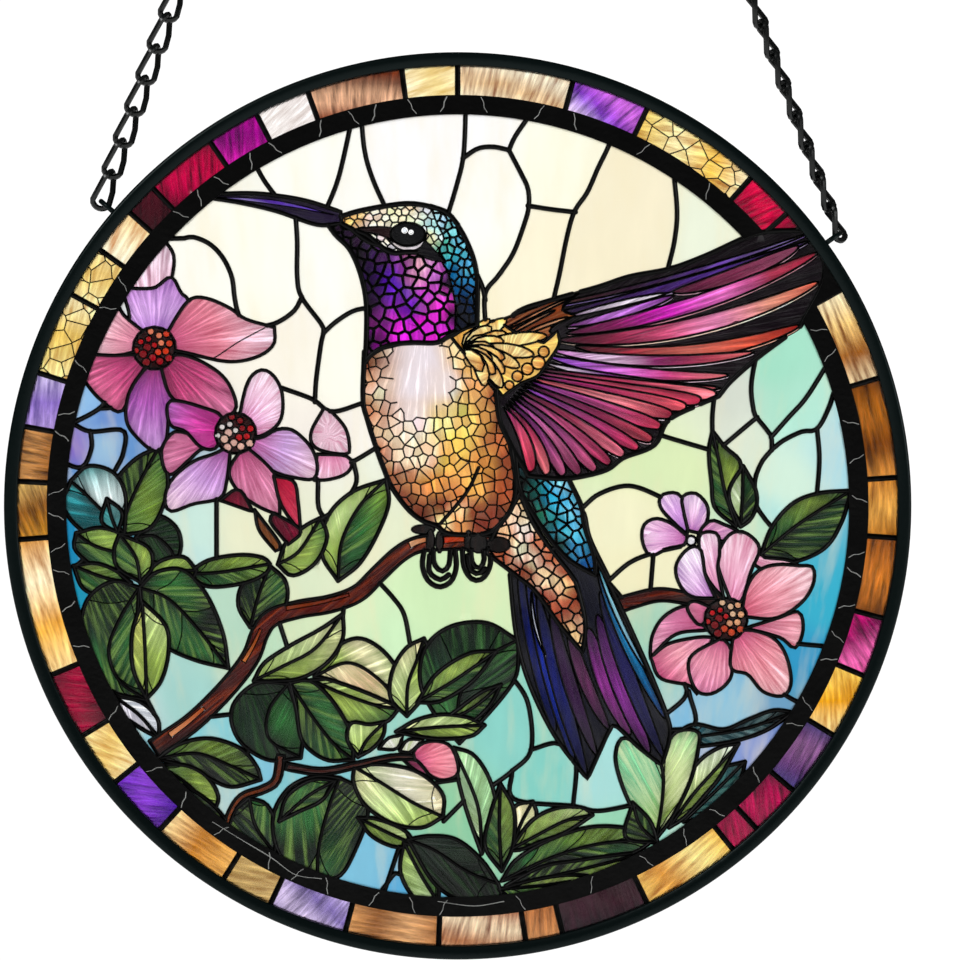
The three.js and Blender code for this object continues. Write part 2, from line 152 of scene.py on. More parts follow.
def bend(points, closed=False, step=STEP):
    """A line bent through (x, z) points. A third number marks a corner. A closed line ends at its start."""
    places = np.array([p[:2] for p in points], float)
    corners = [i for i, p in enumerate(points) if len(p) == 3]
    if closed and not corners:
        count = len(places)
        wrapped = places[np.arange(-2, count + 3) % count]
        whole = bend_open(wrapped)
        return along_line(whole[16 : 16 + 8 * count + 1], step)
    if closed:
        places = np.vstack([np.roll(places, -corners[0], axis=0), places[corners[0]]])
        corners = [c - corners[0] for c in corners] + [len(places) - 1]
    else:
        corners = sorted({0, len(places) - 1, *corners})
    parts = [along_line(bend_open(places[a : b + 1]), step) for a, b in zip(corners, corners[1:])]
    return np.vstack([part[:-1] for part in parts] + [parts[-1][-1:]])


# %% Blades
def blade_sides(root, tip, left, right, bow=0.0, blunt=(0.6, 0.8), step=STEP):
    """Spine and two sides of a blade from root to tip. The spine bows by bow times 4s(1-s), and a side stands
    off it by its width times s^p (1-s)^q, scaled to 1 at its widest place."""
    root, tip = np.array(root, float), np.array(tip, float)
    length = np.hypot(*(tip - root))
    way = (tip - root) / length
    side = np.array([-way[1], way[0]])
    count = max(5, int(length / step))
    s = (1 - np.cos(np.linspace(0, np.pi, count))) / 2
    p, q = blunt
    top = p / (p + q)
    width = (s**p * (1 - s) ** q) / (top**p * (1 - top) ** q)
    spine = root + np.outer(s * length, way) + np.outer(4 * s * (1 - s) * bow, side)
    return spine, spine + np.outer(width * left, side), spine - np.outer(width * right, side)


print("points on a 20 mm circle's line:", len(bend([clock(a, 10) for a in range(0, 360, 60)], True)))

# %% [markdown]
# ## Pieces of glass and strokes of lead
#
# The picture is kept as a list of pieces, the farthest first, as a painter would lay them down. Each has an
# outline, the colours from its root to its tip, the colour of its streaks, and the point that its streaks
# fan out from. A stroke is a line of lead with no piece of its own: a vein in a leaf, or a seam in the
# background.

# %% The lists, and how a piece is added to them
pieces = []
strokes = []


def piece(slot, outline, colours, fan, streak=("000000", 0.25), line=FINE_LEAD, edges=None, spots=None):
    """Adds a piece of glass. colours run from the place nearest the fan point to the farthest. spots are
    (x, z, colour) places that are blended by nearness instead. edges are the lines drawn round it, each
    with its half width."""
    outline = np.asarray(outline, float)
    if np.allclose(outline[0], outline[-1]):
        outline = outline[:-1]
    closed = np.vstack([outline, outline[:1]])
    pieces.append(
        {
            "slot": slot,
            "outline": outline,
            "colours": [linear(c) for c in ([colours] if isinstance(colours, str) else colours)],
            "fan": np.array(fan, float),
            "streak": linear(streak[0]),
            "amount": streak[1],
            "edges": [(closed, line)] if edges is None else edges,
            "spots": spots,
        }
    )
    return len(pieces) - 1


def stroke(points, line=LEAD, owner=None):
    """Adds a line of lead. With an owner it shows only inside that piece, and where nothing covers it."""
    level = owner if owner is not None else -1
    strokes.append({"line": line, "points": np.asarray(points, float), "owner": owner, "level": level})


print("pieces:", len(pieces), "strokes:", len(strokes))

# %% [markdown]
# ## Background seams
#
# Behind the bird the glass is pale: cream above, and mint and aqua below. It is cut into large panes by
# plain seams, which end on each other, on the figures and on the band. Each seam is a bend through a few
# points. Its end is drawn a little past what it meets, because the trimming takes off what doesn't show.

# %% Seams between the panes
SEAM_REACH = 0.12
SEAMS = [
    [(-45.4, 77), (-42.9, 72.1), (-39.5, 67.5)],
    [(-35.8, 64.5), (-35.4, 58.3), (-35.4, 50.4), (-34.4, 46), (-30, 40), (-29.6, 38.1)],
    [(-29.6, 38.1), (-30.2, 35.4), (-31.2, 28), (-31.5, 23)],
    [(-34.4, 46), (-36.2, 42.9), (-40.4, 40.2), (-45, 39.5)],
    [(-67, 59), (-60.8, 59), (-58.3, 59.3), (-54.6, 57.7), (-51.7, 54.6), (-49.8, 50.4), (-49.2, 45.8),
     (-48.2, 42), (-46, 40)],
    [(-29.6, 38.1), (-27, 40.5), (-23, 43), (-19, 43.8)],
    [(-29.2, 65), (-26.8, 70.8), (-25.2, 76.7), (-23, 87)],
    [(-15.8, 65.5), (-18.9, 72.5), (-20.6, 78.8), (-21.4, 88)],
    [(-2.4, 63.5), (-0.2, 70.8), (1.3, 77.5), (1.8, 88)],
    [(1.2, 76.7), (4.4, 78.8), (7.8, 79.2), (11.3, 78.5)],
    [(11.3, 78.5), (12.8, 81.7), (16.5, 87)],
    [(11.3, 78.5), (14, 73.3), (15.5, 70), (15.7, 66.2), (14.8, 62.5), (12.3, 55.8), (9, 50.8), (6.1, 46.9),
     (6.1, 40)],
    [(3.6, 52.5), (5.4, 48.5), (6.1, 45.5)],
    [(15.6, 66.2), (20.7, 65.4), (25.9, 64.8)],
    [(34.2, 83), (33.4, 79.6), (31, 74.6), (28.6, 69.2), (25.7, 64.8), (24, 58.8), (22.3, 50.4),
     (20.5, 43)],
    [(47.5, 75), (48.4, 65), (47.8, 58.3), (46.3, 51.9), (46, 49)],
    [(66.5, 36), (64.8, 27), (65.3, 21), (66, 19.5), (68, 17), (69.2, 15.2), (69.3, 12.4)],
    [(66, 19.5), (63, 17), (58, 12.8)],
    [(69.2, 15.2), (73, 19.5), (77, 24), (82, 32)],
    [(69.3, 12.4), (72, 14.5), (76, 16.4), (79.3, 17), (82, 22), (84, 29)],
    [(79.3, 17), (79.8, 10), (79.1, 1)],
    [(69.3, 12.4), (67, 9.5), (65.6, 5.5), (65.8, 0.5), (67.5, -2.5), (70, -5.5)],
    [(57, 27), (56.2, 20), (56.3, 14)],
    [(43.5, 16), (46, 15.2), (50, 14), (57.5, 11.8)],
    [(26.5, -1.5), (28, 0), (31, 2.5), (36, 4.3), (40, 4), (46, 1.4)],
    [(33.4, -16.4), (38, -12.5), (43.2, -10.4), (49, -9)],
    [(43.2, -10.4), (42.5, -19)],
    [(32.8, -16.3), (36.5, -20.6)],
    [(26.5, 0), (28, -2), (29.2, -7.3), (33.4, -16)],
    [(-38.7, 26), (-32, 23.5), (-27.7, 20.8), (-20, 23)],
    [(-32, 7), (-31, 6), (-30.8, 5), (-30.6, -0.7), (-28, -4)],
    [(-31.4, 5.8), (-27, 8.2), (-23, 9.8), (-17, 13.4)],
    [(-23, 9.8), (-22.4, 5), (-25.9, 0), (-30.8, -3.4)],
    [(-53.2, 2), (-53.2, -13)],
    [(-17.7, -16.5), (-14.3, -20.2), (-11.8, -24), (-10.4, -31)],
    [(-25.3, -24), (-24.8, -19)],
    [(-87, 29.6), (-83.7, 28.6), (-77, 24.8), (-73, 21)],
    [(-77, 24.8), (-79, 21.5), (-85.4, 18.2), (-88, 18.6)],
    [(-79, 21.5), (-73.4, 21.4), (-71.6, 17.6), (-68, 12.6)],
    [(-85, 18.2), (-81, 16.4), (-73.8, 16.6), (-73.8, 11.6), (-75.5, 8)],
    [(-81, 16.4), (-80.8, 12.6), (-83, 8.5), (-88, 9.9)],
    [(-86.6, -0.8), (-82.2, -6), (-82.6, -11.6), (-84.6, -13.4)],
    [(-84.4, -13.6), (-82, -18.4), (-77, -18.6)],
    [(-39.6, -25), (-37.3, -32)],
    [(-56, -46.7), (-48.5, -45.8)],
    [(-46, -51.5), (-46.5, -56)],
    [(48, -36), (50.5, -41.5), (45, -46.8)],
    [(51, -41), (52.3, -48.3), (45, -49.6)],
    [(11.5, -37), (15.5, -43.5), (16.2, -53.8), (12, -58.5), (8, -61.5)],
    [(16.2, -53.8), (22, -52.4), (26, -56.3), (25.4, -67)],
    [(12, -58.5), (12.5, -64.7), (25.4, -66.2), (31, -67.3), (39.5, -65.8)],
    [(-4.5, -61), (1, -60.2)],
    [(2.6, -63.8), (-3, -69.5)],
    [(-68.6, -42.6), (-66.6, -47), (-66.2, -53)],
    [(72.4, -29.6), (75, -30.4), (84, -31.2)],
    [(71, -41), (74.5, -43), (79, -45)],
    [(-12.5, -74), (-17.8, -90)],
    [(-16.5, -84.5), (-13, -81), (-9, -88)],
]
for seam in SEAMS:
    line = bend(seam)
    before = line[0] + (line[0] - line[1]) * SEAM_REACH
    after = line[-1] + (line[-1] - line[-2]) * SEAM_REACH
    stroke(np.vstack([before, line, after]))

# %% Colours of the background, at places on it
SKY_SPOTS = [
    (-30, 78, "fffef6"), (-10, 78, "ffffff"), (8, 84, "ffffff"), (8, 66, "fffff9"), (-62, 54, "fdfbf2"),
    (-45, 52, "fffdf0"), (-27, 52, "fffff8"), (-38, 33, "fdf8e6"), (-25, 28, "fffdf0"), (22, 76, "fffbe6"),
    (20, 57, "fdf6dc"), (12, 46, "fdf7dd"), (40, 66, "fdf3d6"), (33, 54, "fbf1d2"), (56, 62, "eef6e0"),
    (70, 32, "9fe0c6"), (61, 24, "d3d9cd"), (60, 15, "e5ecd9"), (75, 22, "b9e8d6"), (73, 6, "e3f3dc"),
    (82, 12, "a9d8e6"), (67, -4, "86d4de"), (50, 8, "e4efb9"), (38, 12, "dcecb4"), (35, -4, "f3f2d2"),
    (37, -15, "f3ecc4"), (46, -13, "f0ecca"), (40, -26, "b4d8ae"), (-29, 16, "ece2dd"), (-17, 14, "ffffff"),
    (-47, -6, "f3eccb"), (-58, -6, "cfe9dc"), (-22, -7, "eef1cf"), (-36, -18, "cfe6c0"),
    (-51, -22, "cfe4bf"), (-48, -31, "c4dfb8"), (-15, -30, "c9eec4"), (-4, -20, "d2efc0"),
    (8, -18, "e6f5c8"), (-24, -25, "e7f0c8"), (-60, -43, "8fcbd0"), (-53, -50, "8ecfd3"),
    (-33, -58, "7db7dc"), (-20, -79, "8ac6de"), (-13, -84, "6fb4dc"), (1, -70, "8fc89a"),
    (0, -62, "9bd0a0"), (11, -50, "8fd6c6"), (20, -60, "8ad3c6"), (30, -61, "b3e3e0"), (33, -72, "a9e2c4"),
    (46, -38, "7fc3d6"), (60, -46, "a4d6e6"), (49, -45, "8dc7ea"), (66, -53, "8e9bd8"), (81, -20, "46bcd0"),
    (66, -8, "84d3dc"), (77, -36, "2a74bc"), (72, -46, "24508e"), (-82, 23, "9cc6ea"), (-77, 20, "3c62c8"),
    (-85, 13, "8a62c0"), (-78, 13, "c8ecf0"), (-72, 12, "3d7cc4"), (-86, 7, "3b78c0"), (-84, -8, "2f80b8"),
    (-82, -19, "3d9db0"), (-60, -12, "b8dce0"), (-71, -47, "e6e4f2"), (-69, -53, "8cc4e0"),
    (-63, -30, "a8d8d8"), (-75, -3, "4b9fc4"), (-68, -12, "54a6b8"),
]
SKY = {
    "slot": "aqua_sky_glass",
    "outline": clock(np.arange(0, 360, 10), BAND_INNER),
    "fan": np.array([4.0, -400.0]),
    "streak": linear("f6e8c0"),
    "amount": 0.35,
    "colours": [],
    "spots": SKY_SPOTS,
}
print("seams:", len(SEAMS), "places of background colour:", len(SKY_SPOTS))

# %% [markdown]
# ## Leaves
#
# A leaf is two pieces of glass with the midrib's lead between them, one side in the light and one in
# shadow. Its two sides and its midrib each bend from the root to the tip through a few points, as a glazier
# cuts them, and thin veins run forward from the midrib. The streaks of each half fan out from a point
# behind the root and off to that half's far side, so the two halves catch the light unlike each other.


# %% Leaves from root, tip and sides
def veins(spine, side, count, owner):
    """Thin lines from the midrib towards the edge, each leaning forward."""
    starts = np.linspace(0.12, 0.72, count)
    for start in starts:
        a = spine[int(start * (len(spine) - 1))]
        b = side[min(len(side) - 1, int((start + 0.2) * (len(side) - 1)))]
        middle = (a + b) / 2 + (spine[-1] - spine[0]) * 0.03
        stroke(bend([tuple(a), tuple(middle), tuple(b)]), VEIN, owner)


DEEP, DARK, MOSS, OLIVE, LIME, PALE, CREAM = (
    "050c07", "0d2215", "285a2c", "647c30", "9fb85a", "c9dc9a", "e6dcae"
)
TEAL = "2c7f86"
LIT = ("94bc60", 0.5)
SHADED = ("5f7a34", 0.6)


def leaf(root, tip, left, right, rib, left_colours, right_colours, count=3, streak=LIT):
    """A leaf drawn from points. Its two sides and its midrib each bend from the root to the tip."""
    way = np.subtract(tip, root)
    over = np.array([-way[1], way[0]])
    midrib = bend([root, *rib, tip])
    for places, colours, lean in ((left, left_colours, -1), (right, right_colours, 1)):
        side = bend([root, *places, tip])
        shape = np.vstack([midrib, side[-2:0:-1]])
        edges = [(side, 0.5)] if lean < 0 else [(side, 0.5), (midrib, 0.42)]
        owner = piece("leaf_glass", shape, colours, root - way * 0.6 + over * lean * 0.6, streak, edges=edges)
        if count:
            veins(midrib, side, (count + 1) // 2, owner)


# %% The leaves: root, tip, left side, right side, midrib, colours of both halves, veins and streaks
LEAVES = [
    ((-76.2, -41.8), (-65.9, -51.2), [(-70, -43.2), (-66.2, -47)], [(-74.4, -45.6), (-70, -49)],
     [(-70.4, -46)], ["f2f2f8", "d8d8e4"], ["c8c8d8", "f2f2f8"], 0, ("8890a8", 0.5)),
    ((-66.4, -55.8), (-43.4, -60.4), [(-61, -52.4), (-54.5, -51.3), (-47.9, -53.5), (-44.4, -57.4)],
     [(-60, -57.4), (-55.6, -59.6), (-50, -62)], [(-57.6, -54.6), (-50, -57.4)], [MOSS, OLIVE, DARK],
     [DARK, DEEP, DARK], 4),
    ((-65.8, -57.2), (-53.6, -67.2), [(-60, -57.2), (-55.4, -59.6), (-52.8, -64)],
     [(-62.2, -61.6), (-57.8, -65.4)], [(-59.6, -61.4)], [MOSS, OLIVE, LIME], [MOSS, DARK], 3),
    ((-62, -61), (-49.6, -72), [(-57, -63.6), (-52.6, -67.4)], [(-59.6, -66), (-54, -71.4)], [(-56, -67)],
     [DARK, DEEP], [DEEP, DARK], 1),
    ((-46, -64.4), (-40.4, -76.6), [(-50.4, -69), (-47.4, -75)], [(-42, -66), (-40, -71)], [(-44.6, -70.6)],
     [DEEP, DARK], [MOSS, DARK], 2),
    ((-26, -60), (-31, -82.6), [(-31.4, -59.6), (-37.4, -62.4), (-40.8, -69), (-38.8, -77.6)],
     [(-21.4, -62.6), (-19.8, -68), (-22.6, -76), (-26, -81.6)], [(-28.6, -67), (-30.6, -75)],
     [DARK, MOSS, DEEP, DARK], [DEEP, DARK, MOSS], 4),
    ((-27, -60.6), (-39.4, -69.6), [(-32, -60.4), (-37.6, -64)], [(-30, -65), (-35, -67.4)], [(-33, -64)],
     [MOSS, "4f8a48", DARK], [DARK, "26502c", MOSS], 1),
    ((-3.2, -68.6), (-22.8, -57.6), [(-3.4, -63.4), (-9, -58.6), (-17, -57)], [(-8, -71), (-14.5, -70),
     (-20.4, -66), (-23, -61)], [(-9.6, -65.6), (-17, -61)], [CREAM, "f6f0d8", PALE], [LIME, PALE, CREAM],
     4, SHADED),
    ((-9, -75), (-22, -68.8), [(-12, -71.4), (-18, -69)], [(-14, -75.2), (-19, -72.8)], [(-15.6, -72)],
     [PALE, LIME], [OLIVE, LIME], 1, SHADED),
    ((-4.2, -87.6), (-11.9, -74.2), [(-9, -87), (-12.6, -81)], [(-4.4, -82), (-7.6, -76)], [(-8, -81.6)],
     ["b9cfa0", LIME], [MOSS, OLIVE], 2, SHADED),
    ((9, -83.4), (-11, -73.6), [(5.2, -78), (-0.2, -73.6), (-6, -72.8)],
     [(9.2, -86.6), (2, -87.4), (-5, -83.4)], [(2, -80.6), (-5, -76)], [DEEP, "0c1c12", DARK],
     [DEEP, DEEP, DARK], 2, ("2f5c2c", 0.35)),
    ((5.3, -76.8), (-0.9, -53.3), [(2.2, -68), (0.2, -60.7)], [(8.4, -68), (7.2, -60.7), (3.6, -55)],
     [(4.4, -66)], ["c9e0b0", "a9d3a0", "b4e0b4"], ["8fbf8c", "a9d3a0"], 2, SHADED),
    ((12, -75.4), (16.6, -65.2), [(11.6, -69), (13, -66)], [(14.6, -72.8), (17.4, -68.6)], [(14, -70)],
     ["f0e8c8", CREAM], [PALE, CREAM], 0, ("b9c77a", 0.4)),
    ((11.4, -76), (29.8, -68.2), [(16.3, -69.5), (21.8, -66.7), (27.5, -66.5)],
     [(14, -75.8), (18.5, -74), (24, -71.9)], [(18, -72.4), (24, -69.4)], [OLIVE, LIME, PALE],
     [MOSS, OLIVE, LIME], 4),
    ((9.7, -80.6), (9.4, -61.2), [(6.0, -75), (7.2, -68)], [(12.2, -75), (12.4, -67)], [(9.2, -71)],
     [DARK, MOSS, OLIVE], [MOSS, OLIVE, LIME], 2),
    ((9.7, -82.7), (43.6, -73.4), [(13, -78), (20.7, -73.5), (29.6, -70.8), (38.4, -71.2)], [(16.3, -80.8),
     (24, -78.6), (33, -78.4), (39.5, -76.2)], [(20.6, -77.6), (31, -74.6)], [DARK, MOSS, OLIVE, DARK],
     [DEEP, DARK, MOSS], 5),
    ((10.6, -83.8), (42.4, -76.2), [(18.5, -79.6), (26.3, -78.2), (35, -77)],
     [(19.6, -83.6), (27.4, -82), (35, -79.8)], [(22, -81.4), (32, -79)], [DARK, DEEP, MOSS],
     [MOSS, OLIVE, LIME], 3),
    ((9.2, -84.6), (30.9, -81.8), [(16.3, -82.6), (24, -81.4)], [(12, -86.4), (18.5, -85.6), (26.3, -84)],
     [(20, -83.6)], [OLIVE, LIME], [MOSS, OLIVE], 2),
    ((46.5, -51.5), (74, -45.5), [(52, -48.2), (58.6, -49.3), (64.1, -47.1), (69.6, -45.1)], [(52, -53),
     (57.5, -52.5), (63, -51.4), (68.5, -49.3)], [(55, -50.6), (64, -49)], ["1c5a66", "123a44", "0c1a1c"],
     ["0c2a30", "1c5a66", "10181a"], 3, ("9fc8c8", 0.35)),
    ((49.8, -69.7), (63.4, -56.4), [(52.6, -64), (57, -58.4)], [(52.6, -69), (58, -65.3), (62.4, -60)],
     [(56.4, -63.4)], [TEAL, "15474a"], ["123a3c", "1c5a5c"], 2, ("7fc8b8", 0.35)),
    ((46.6, -71), (62, -52.4), [(49.6, -62), (53.4, -56.2), (58, -53.2)],
     [(50.2, -68.6), (54.4, -64), (58, -59.6)], [(52, -63.6), (57, -58)], [LIME, PALE, "e8f2e0"],
     [OLIVE, LIME, MOSS], 3, SHADED),
    ((43.8, -73.4), (44.6, -55.6), [(39.6, -68.6), (36.4, -62), (34.8, -55.4), (36.4, -51.2), (40.6, -53)],
     [(47.4, -68.6), (51.2, -61), (53, -54), (53, -49.8), (48, -50)], [(45, -66), (45.4, -60)],
     [LIME, "6fb080", "8fd0a0"], [MOSS, LIME, PALE, "8fc890"], 4, ("eef6c4", 0.6)),
    ((44.2, -74.4), (38.6, -65.4), [(37, -73)], [(42.4, -69.4)], [(40.2, -70.4)], [DEEP, DARK],
     [DARK, MOSS], 0),
    ((-32.4, -38.4), (-13, -44.8), [(-26, -38.2), (-18.6, -40.6)], [(-30.4, -42), (-27, -46.4),
     (-22, -48.4), (-16, -47.8)], [(-25, -41.6), (-18, -44)], [PALE, LIME, CREAM], [OLIVE, LIME, MOSS], 4,
     SHADED),
    ((-31.6, -37.6), (-12.4, -44.6), [(-27, -31.4), (-21.6, -29.2), (-16, -32.4), (-12.2, -38.6)],
     [(-28, -38.4), (-20.6, -41)], [(-24, -34.6), (-17, -38.6)], [OLIVE, LIME, CREAM, PALE],
     [CREAM, "ecc8a0", PALE], 4, SHADED),
    ((-45, -38.6), (-25.3, -23.8), [(-42.6, -34.6), (-36.9, -30.8), (-30.3, -27.2)], [(-40.4, -38.6),
     (-34.6, -38), (-28.8, -34.6), (-25.4, -29.4)], [(-38.6, -35.4), (-31.4, -31.4)], [LIME, PALE, CREAM],
     [OLIVE, LIME, "dfe3a8"], 4, SHADED),
    ((-11.2, -46.4), (-7.4, -29.2), [(-14.8, -42.4), (-14.4, -36.4), (-11.4, -31.4)],
     [(-7.6, -42), (-5.4, -35)], [(-11, -39.6), (-9, -34)], [LIME, PALE, CREAM], [PALE, LIME, OLIVE], 3,
     SHADED),
    ((0.4, -52.4), (13.2, -29.6), [(-4.6, -46.6), (-8.2, -39.4), (-7.2, -31.4), (-1.6, -26.6),
     (6.4, -25.8)], [(7, -45.6), (12.4, -38.6), (13.4, -33.6)], [(0.4, -42), (5.6, -34)],
     [DARK, MOSS, DARK, DEEP], [DEEP, DARK, DEEP], 5, ("4f8a48", 0.5)),
    ((-9, -43.4), (8.6, -32), [(-4.6, -37), (2.4, -32.6)], [(-3.6, -43), (3.4, -38.6)], [(-0.6, -38.4)],
     [MOSS, LIME, OLIVE], [DARK, MOSS, DEEP], 3),
    ((-4, -48), (9.6, -39.4), [(0.4, -44.6), (5.4, -41)], [(1.4, -48.6), (6.6, -44.6)], [(3, -44.8)],
     [MOSS, OLIVE, DARK], [DARK, MOSS, DEEP], 2),
    ((-37.4, -39.2), (-34.6, -55.6), [(-44.6, -39.2), (-49.8, -44.6), (-48.4, -51.4), (-42, -56)],
     [(-35.6, -44.6), (-34.2, -50.4)], [(-41.6, -45), (-41.6, -51.4)], [DEEP, DARK, DEEP],
     [DARK, MOSS, DEEP], 4, ("2f5c2c", 0.6)),
    ((-37, -39), (-23, -56), [(-32.4, -38.6), (-27.6, -43), (-23.6, -50)],
     [(-35.6, -45), (-34.2, -52), (-29, -56)], [(-32.4, -46), (-27.4, -52.4)], [DARK, MOSS, "26502c"],
     [DEEP, DARK, MOSS], 4),
    ((-22, -55.4), (-16, -47.6), [(-24.4, -51.4), (-23.4, -47.8), (-19.6, -48.2)],
     [(-18.6, -53.4), (-16.4, -50.6)], [(-20, -51.6)], [LIME, PALE], [OLIVE, LIME], 1, SHADED),
    ((-13.6, -49.8), (6, -48.4), [(-9, -47.2), (-3.5, -46), (2, -46.6)],
     [(-9, -50.8), (-3.5, -51.4), (3, -50.8)], [(-4, -48.8)], ["dfe0a0", PALE, LIME], [OLIVE, LIME], 3,
     SHADED),
    ((-26.4, -16.6), (-15.8, 5.8), [(-30, -10.5), (-28.8, -2.6), (-23.4, 3)],
     [(-21.6, -12.7), (-17.6, -6), (-15.2, 0.5)], [(-25.6, -8), (-21.6, 0)], [OLIVE, LIME, PALE, LIME],
     [DARK, MOSS, OLIVE], 4),
    ((-39.7, -12.9), (-30.2, -2.6), [(-37.8, -8), (-33.6, -4.4)],
     [(-36.4, -15.4), (-31.4, -12.6), (-28.8, -7)], [(-35, -10)], [LIME, PALE, LIME], [OLIVE, LIME, MOSS],
     3),
    ((-45.8, -26.8), (-41.4, -13.2), [(-48.4, -22), (-47.2, -17)],
     [(-41, -26.2), (-37.8, -21.4), (-38, -16.6)], [(-44, -20)], [DEEP, DARK], [DEEP, DARK, MOSS], 3),
    ((-59.6, -15), (-41.4, -12.8), [(-55, -12), (-48, -10.8), (-43, -11.4)],
     [(-55, -17.8), (-47, -17), (-42.2, -14.8)], [(-52, -14.6)], [MOSS, OLIVE, LIME], [DARK, MOSS, OLIVE],
     4),
    ((-71, -7), (-62, -13), [(-66.7, -2.2), (-62.4, -4.3), (-61, -8.3)], [(-69, -11.4), (-66, -12.6)],
     [(-67, -6.6), (-63.5, -9.4)], [DEEP, DARK], [DEEP, DARK], 2, ("2f5c2c", 0.5)),
    ((-74.5, -6.5), (-66, 12.8), [(-77.5, -1.7), (-75.8, 5), (-71, 10.4)],
     [(-68, -5), (-64.6, 1), (-64, 7)], [(-72.5, 0), (-69.5, 6.5)], [DEEP, DARK, DEEP], [MOSS, OLIVE, MOSS],
     4),
    ((-73.5, -6), (-85.4, 5.5), [(-79.5, -7), (-84.5, -4), (-87, 0.5)],
     [(-73.3, 2.5), (-76, 7.4), (-81.5, 8.8)], [(-78.5, -1), (-82.5, 3)], [TEAL, "12484c", TEAL],
     ["2c7f86", "dff0ee", "3f8f90"], 3, ("06282a", 0.6)),
    ((-75, -6), (-77.4, 1.6), [(-78.6, -3.4)], [(-74, -1.4)], [(-76.4, -2.4)], ["5fb0b0", TEAL],
     [TEAL, "8fd0d0"], 0, ("06282a", 0.4)),
    ((-71, -10.4), (-84.2, -6), [(-73.5, -6.6), (-78.8, -4.8)], [(-75, -14.4), (-80, -13.4), (-84.4, -9.6)],
     [(-76, -10), (-80.5, -8.6)], [OLIVE, LIME, MOSS], [MOSS, DARK], 3),
    ((-72, -17), (-84.8, -13.2), [(-75.5, -14.2), (-80, -12.6)], [(-76.6, -20), (-82.4, -18.4)],
     [(-78, -15.8)], [MOSS, OLIVE, LIME], [DARK, MOSS], 2),
    ((-70, -17), (-57.6, -14.2), [(-66, -12.4), (-60.6, -11.2)], [(-64.5, -17.6), (-59.6, -17.6)],
     [(-64, -14.6)], [OLIVE, LIME], [MOSS, OLIVE], 2),
    ((-70, -16.8), (-74.6, -6.2), [(-75, -13.6), (-75.8, -9.6)], [(-67.4, -13.6), (-68.2, -9.2)],
     [(-71, -11.4)], [DARK, MOSS], [MOSS, LIME, OLIVE], 2),
    ((-70.3, -18), (-68.6, -42.8), [(-76, -16.6), (-81.6, -20.5), (-83.2, -28), (-81.4, -35.4), (-76, -41)],
     [(-70.6, -25), (-70.6, -34)], [(-74.6, -25), (-77, -32), (-74.6, -38.6)], [DEEP, DARK, MOSS, DARK],
     [DARK, MOSS, DARK], 4),
    ((-70.2, -18), (-50.6, -35.8), [(-66.4, -14.6), (-60.4, -14.2), (-55.4, -19.6), (-51.8, -28)],
     [(-69, -24.8), (-64.6, -30.8), (-58, -34)], [(-64, -20.4), (-57.6, -26.8)], [DARK, MOSS, DEEP, DARK],
     [DEEP, "26502c", MOSS], 5),
    ((-69.6, -21), (-68.6, -42.6), [(-71.8, -28), (-71.6, -36)], [(-64.4, -26.4), (-63.8, -32.4),
     (-65.4, -38.6)], [(-69, -31)], ["cfcf70", LIME], [PALE, LIME, OLIVE], 3, SHADED),
    ((66.9, -10.8), (86.8, 3.4), [(69.4, -4.5), (74, 0.6), (79.6, 2.8)], [(68.5, -11.9), (74, -12.4),
     (80.9, -9.4), (84.7, -3.6)], [(74, -4.9), (79.6, -1.1)], [DARK, MOSS, OLIVE, MOSS],
     [DEEP, DARK, "12301c"], 4),
    ((61.4, -4.5), (56.2, 16.6), [(56.8, -0.5), (56, 5), (55.4, 12)],
     [(61.7, 0), (61.9, 4), (62.4, 9.6), (59, 13)], [(59, 3), (57.6, 10)], [DARK, MOSS, DARK],
     [MOSS, LIME, OLIVE, MOSS], 3),
    ((62.4, -4.6), (63, 8.8), [(60, 1), (60.2, 4.4)], [(64.6, -3), (66, 0.4), (65.6, 4)], [(62.8, 2)],
     [LIME, "cfdcc0", OLIVE], [DEEP, DARK, MOSS], 2),
]
for row in LEAVES:
    leaf(*row)
print("pieces so far:", len(pieces))

# %% [markdown]
# ## Branch
#
# The branch is a strip of dark red glass of even width along a bend, with a few lit lengths of amber and
# peach in it. The strip is the bend moved half its width to each side.


# %% Strips of even width
def strip(points, width_root, width_tip=None):
    """An outline that stands off a bend by half a width, which changes evenly from the root to the tip."""
    line = bend(points)
    side = left_of(unit(np.gradient(line, axis=0)))
    half = np.linspace(width_root, width_tip or width_root, len(line))[:, None] / 2
    return np.vstack([line + side * half, (line - side * half)[::-1]])


BARK = ["2a0808", "521410", "1c0606"]
FAR_ROOT = (-200, -160)
BRANCH_LINE = [
    (-67, -53.5), (-59.5, -48.5), (-54, -43.5), (-49, -38), (-45.5, -33), (-43.6, -28), (-41, -24.7),
    (-35, -22.8), (-28, -21.6), (-22, -19.3), (-17.5, -15), (-13, -10.8), (-9, -8.6), (-4, -8), (4, -8),
    (10.7, -9), (13, -9.4),
]
piece("branch_glass", strip([(34.4, -22.4), (38.4, -21), (44.7, -19.6), (52, -20.6)], 3.2, 2.4), BARK,
    (30, -22), ("9a3a24", 0.5))
piece(
    "branch_glass",
    strip([(-39, -55), (-40, -60.5), (-43, -62.6), (-47.5, -64.2), (-50, -67.6), (-51.4, -72)], 1.7, 1.2),
    ["6f2a14", "a0522a"], (-30, -50), ("2c0a0a", 0.4),
)
piece(
    "branch_glass",
    strip([(-37.8, -57.5), (-30, -58.6), (-22.2, -57.2), (-14.3, -55.5), (-8, -55.6)], 1.5, 1.0),
    ["4a140f", "7a3420"], (-45, -58), ("2c0a0a", 0.4),
)
piece("branch_glass", strip(BRANCH_LINE, 3.9, 3.2), BARK, FAR_ROOT, ("a8482c", 0.55))
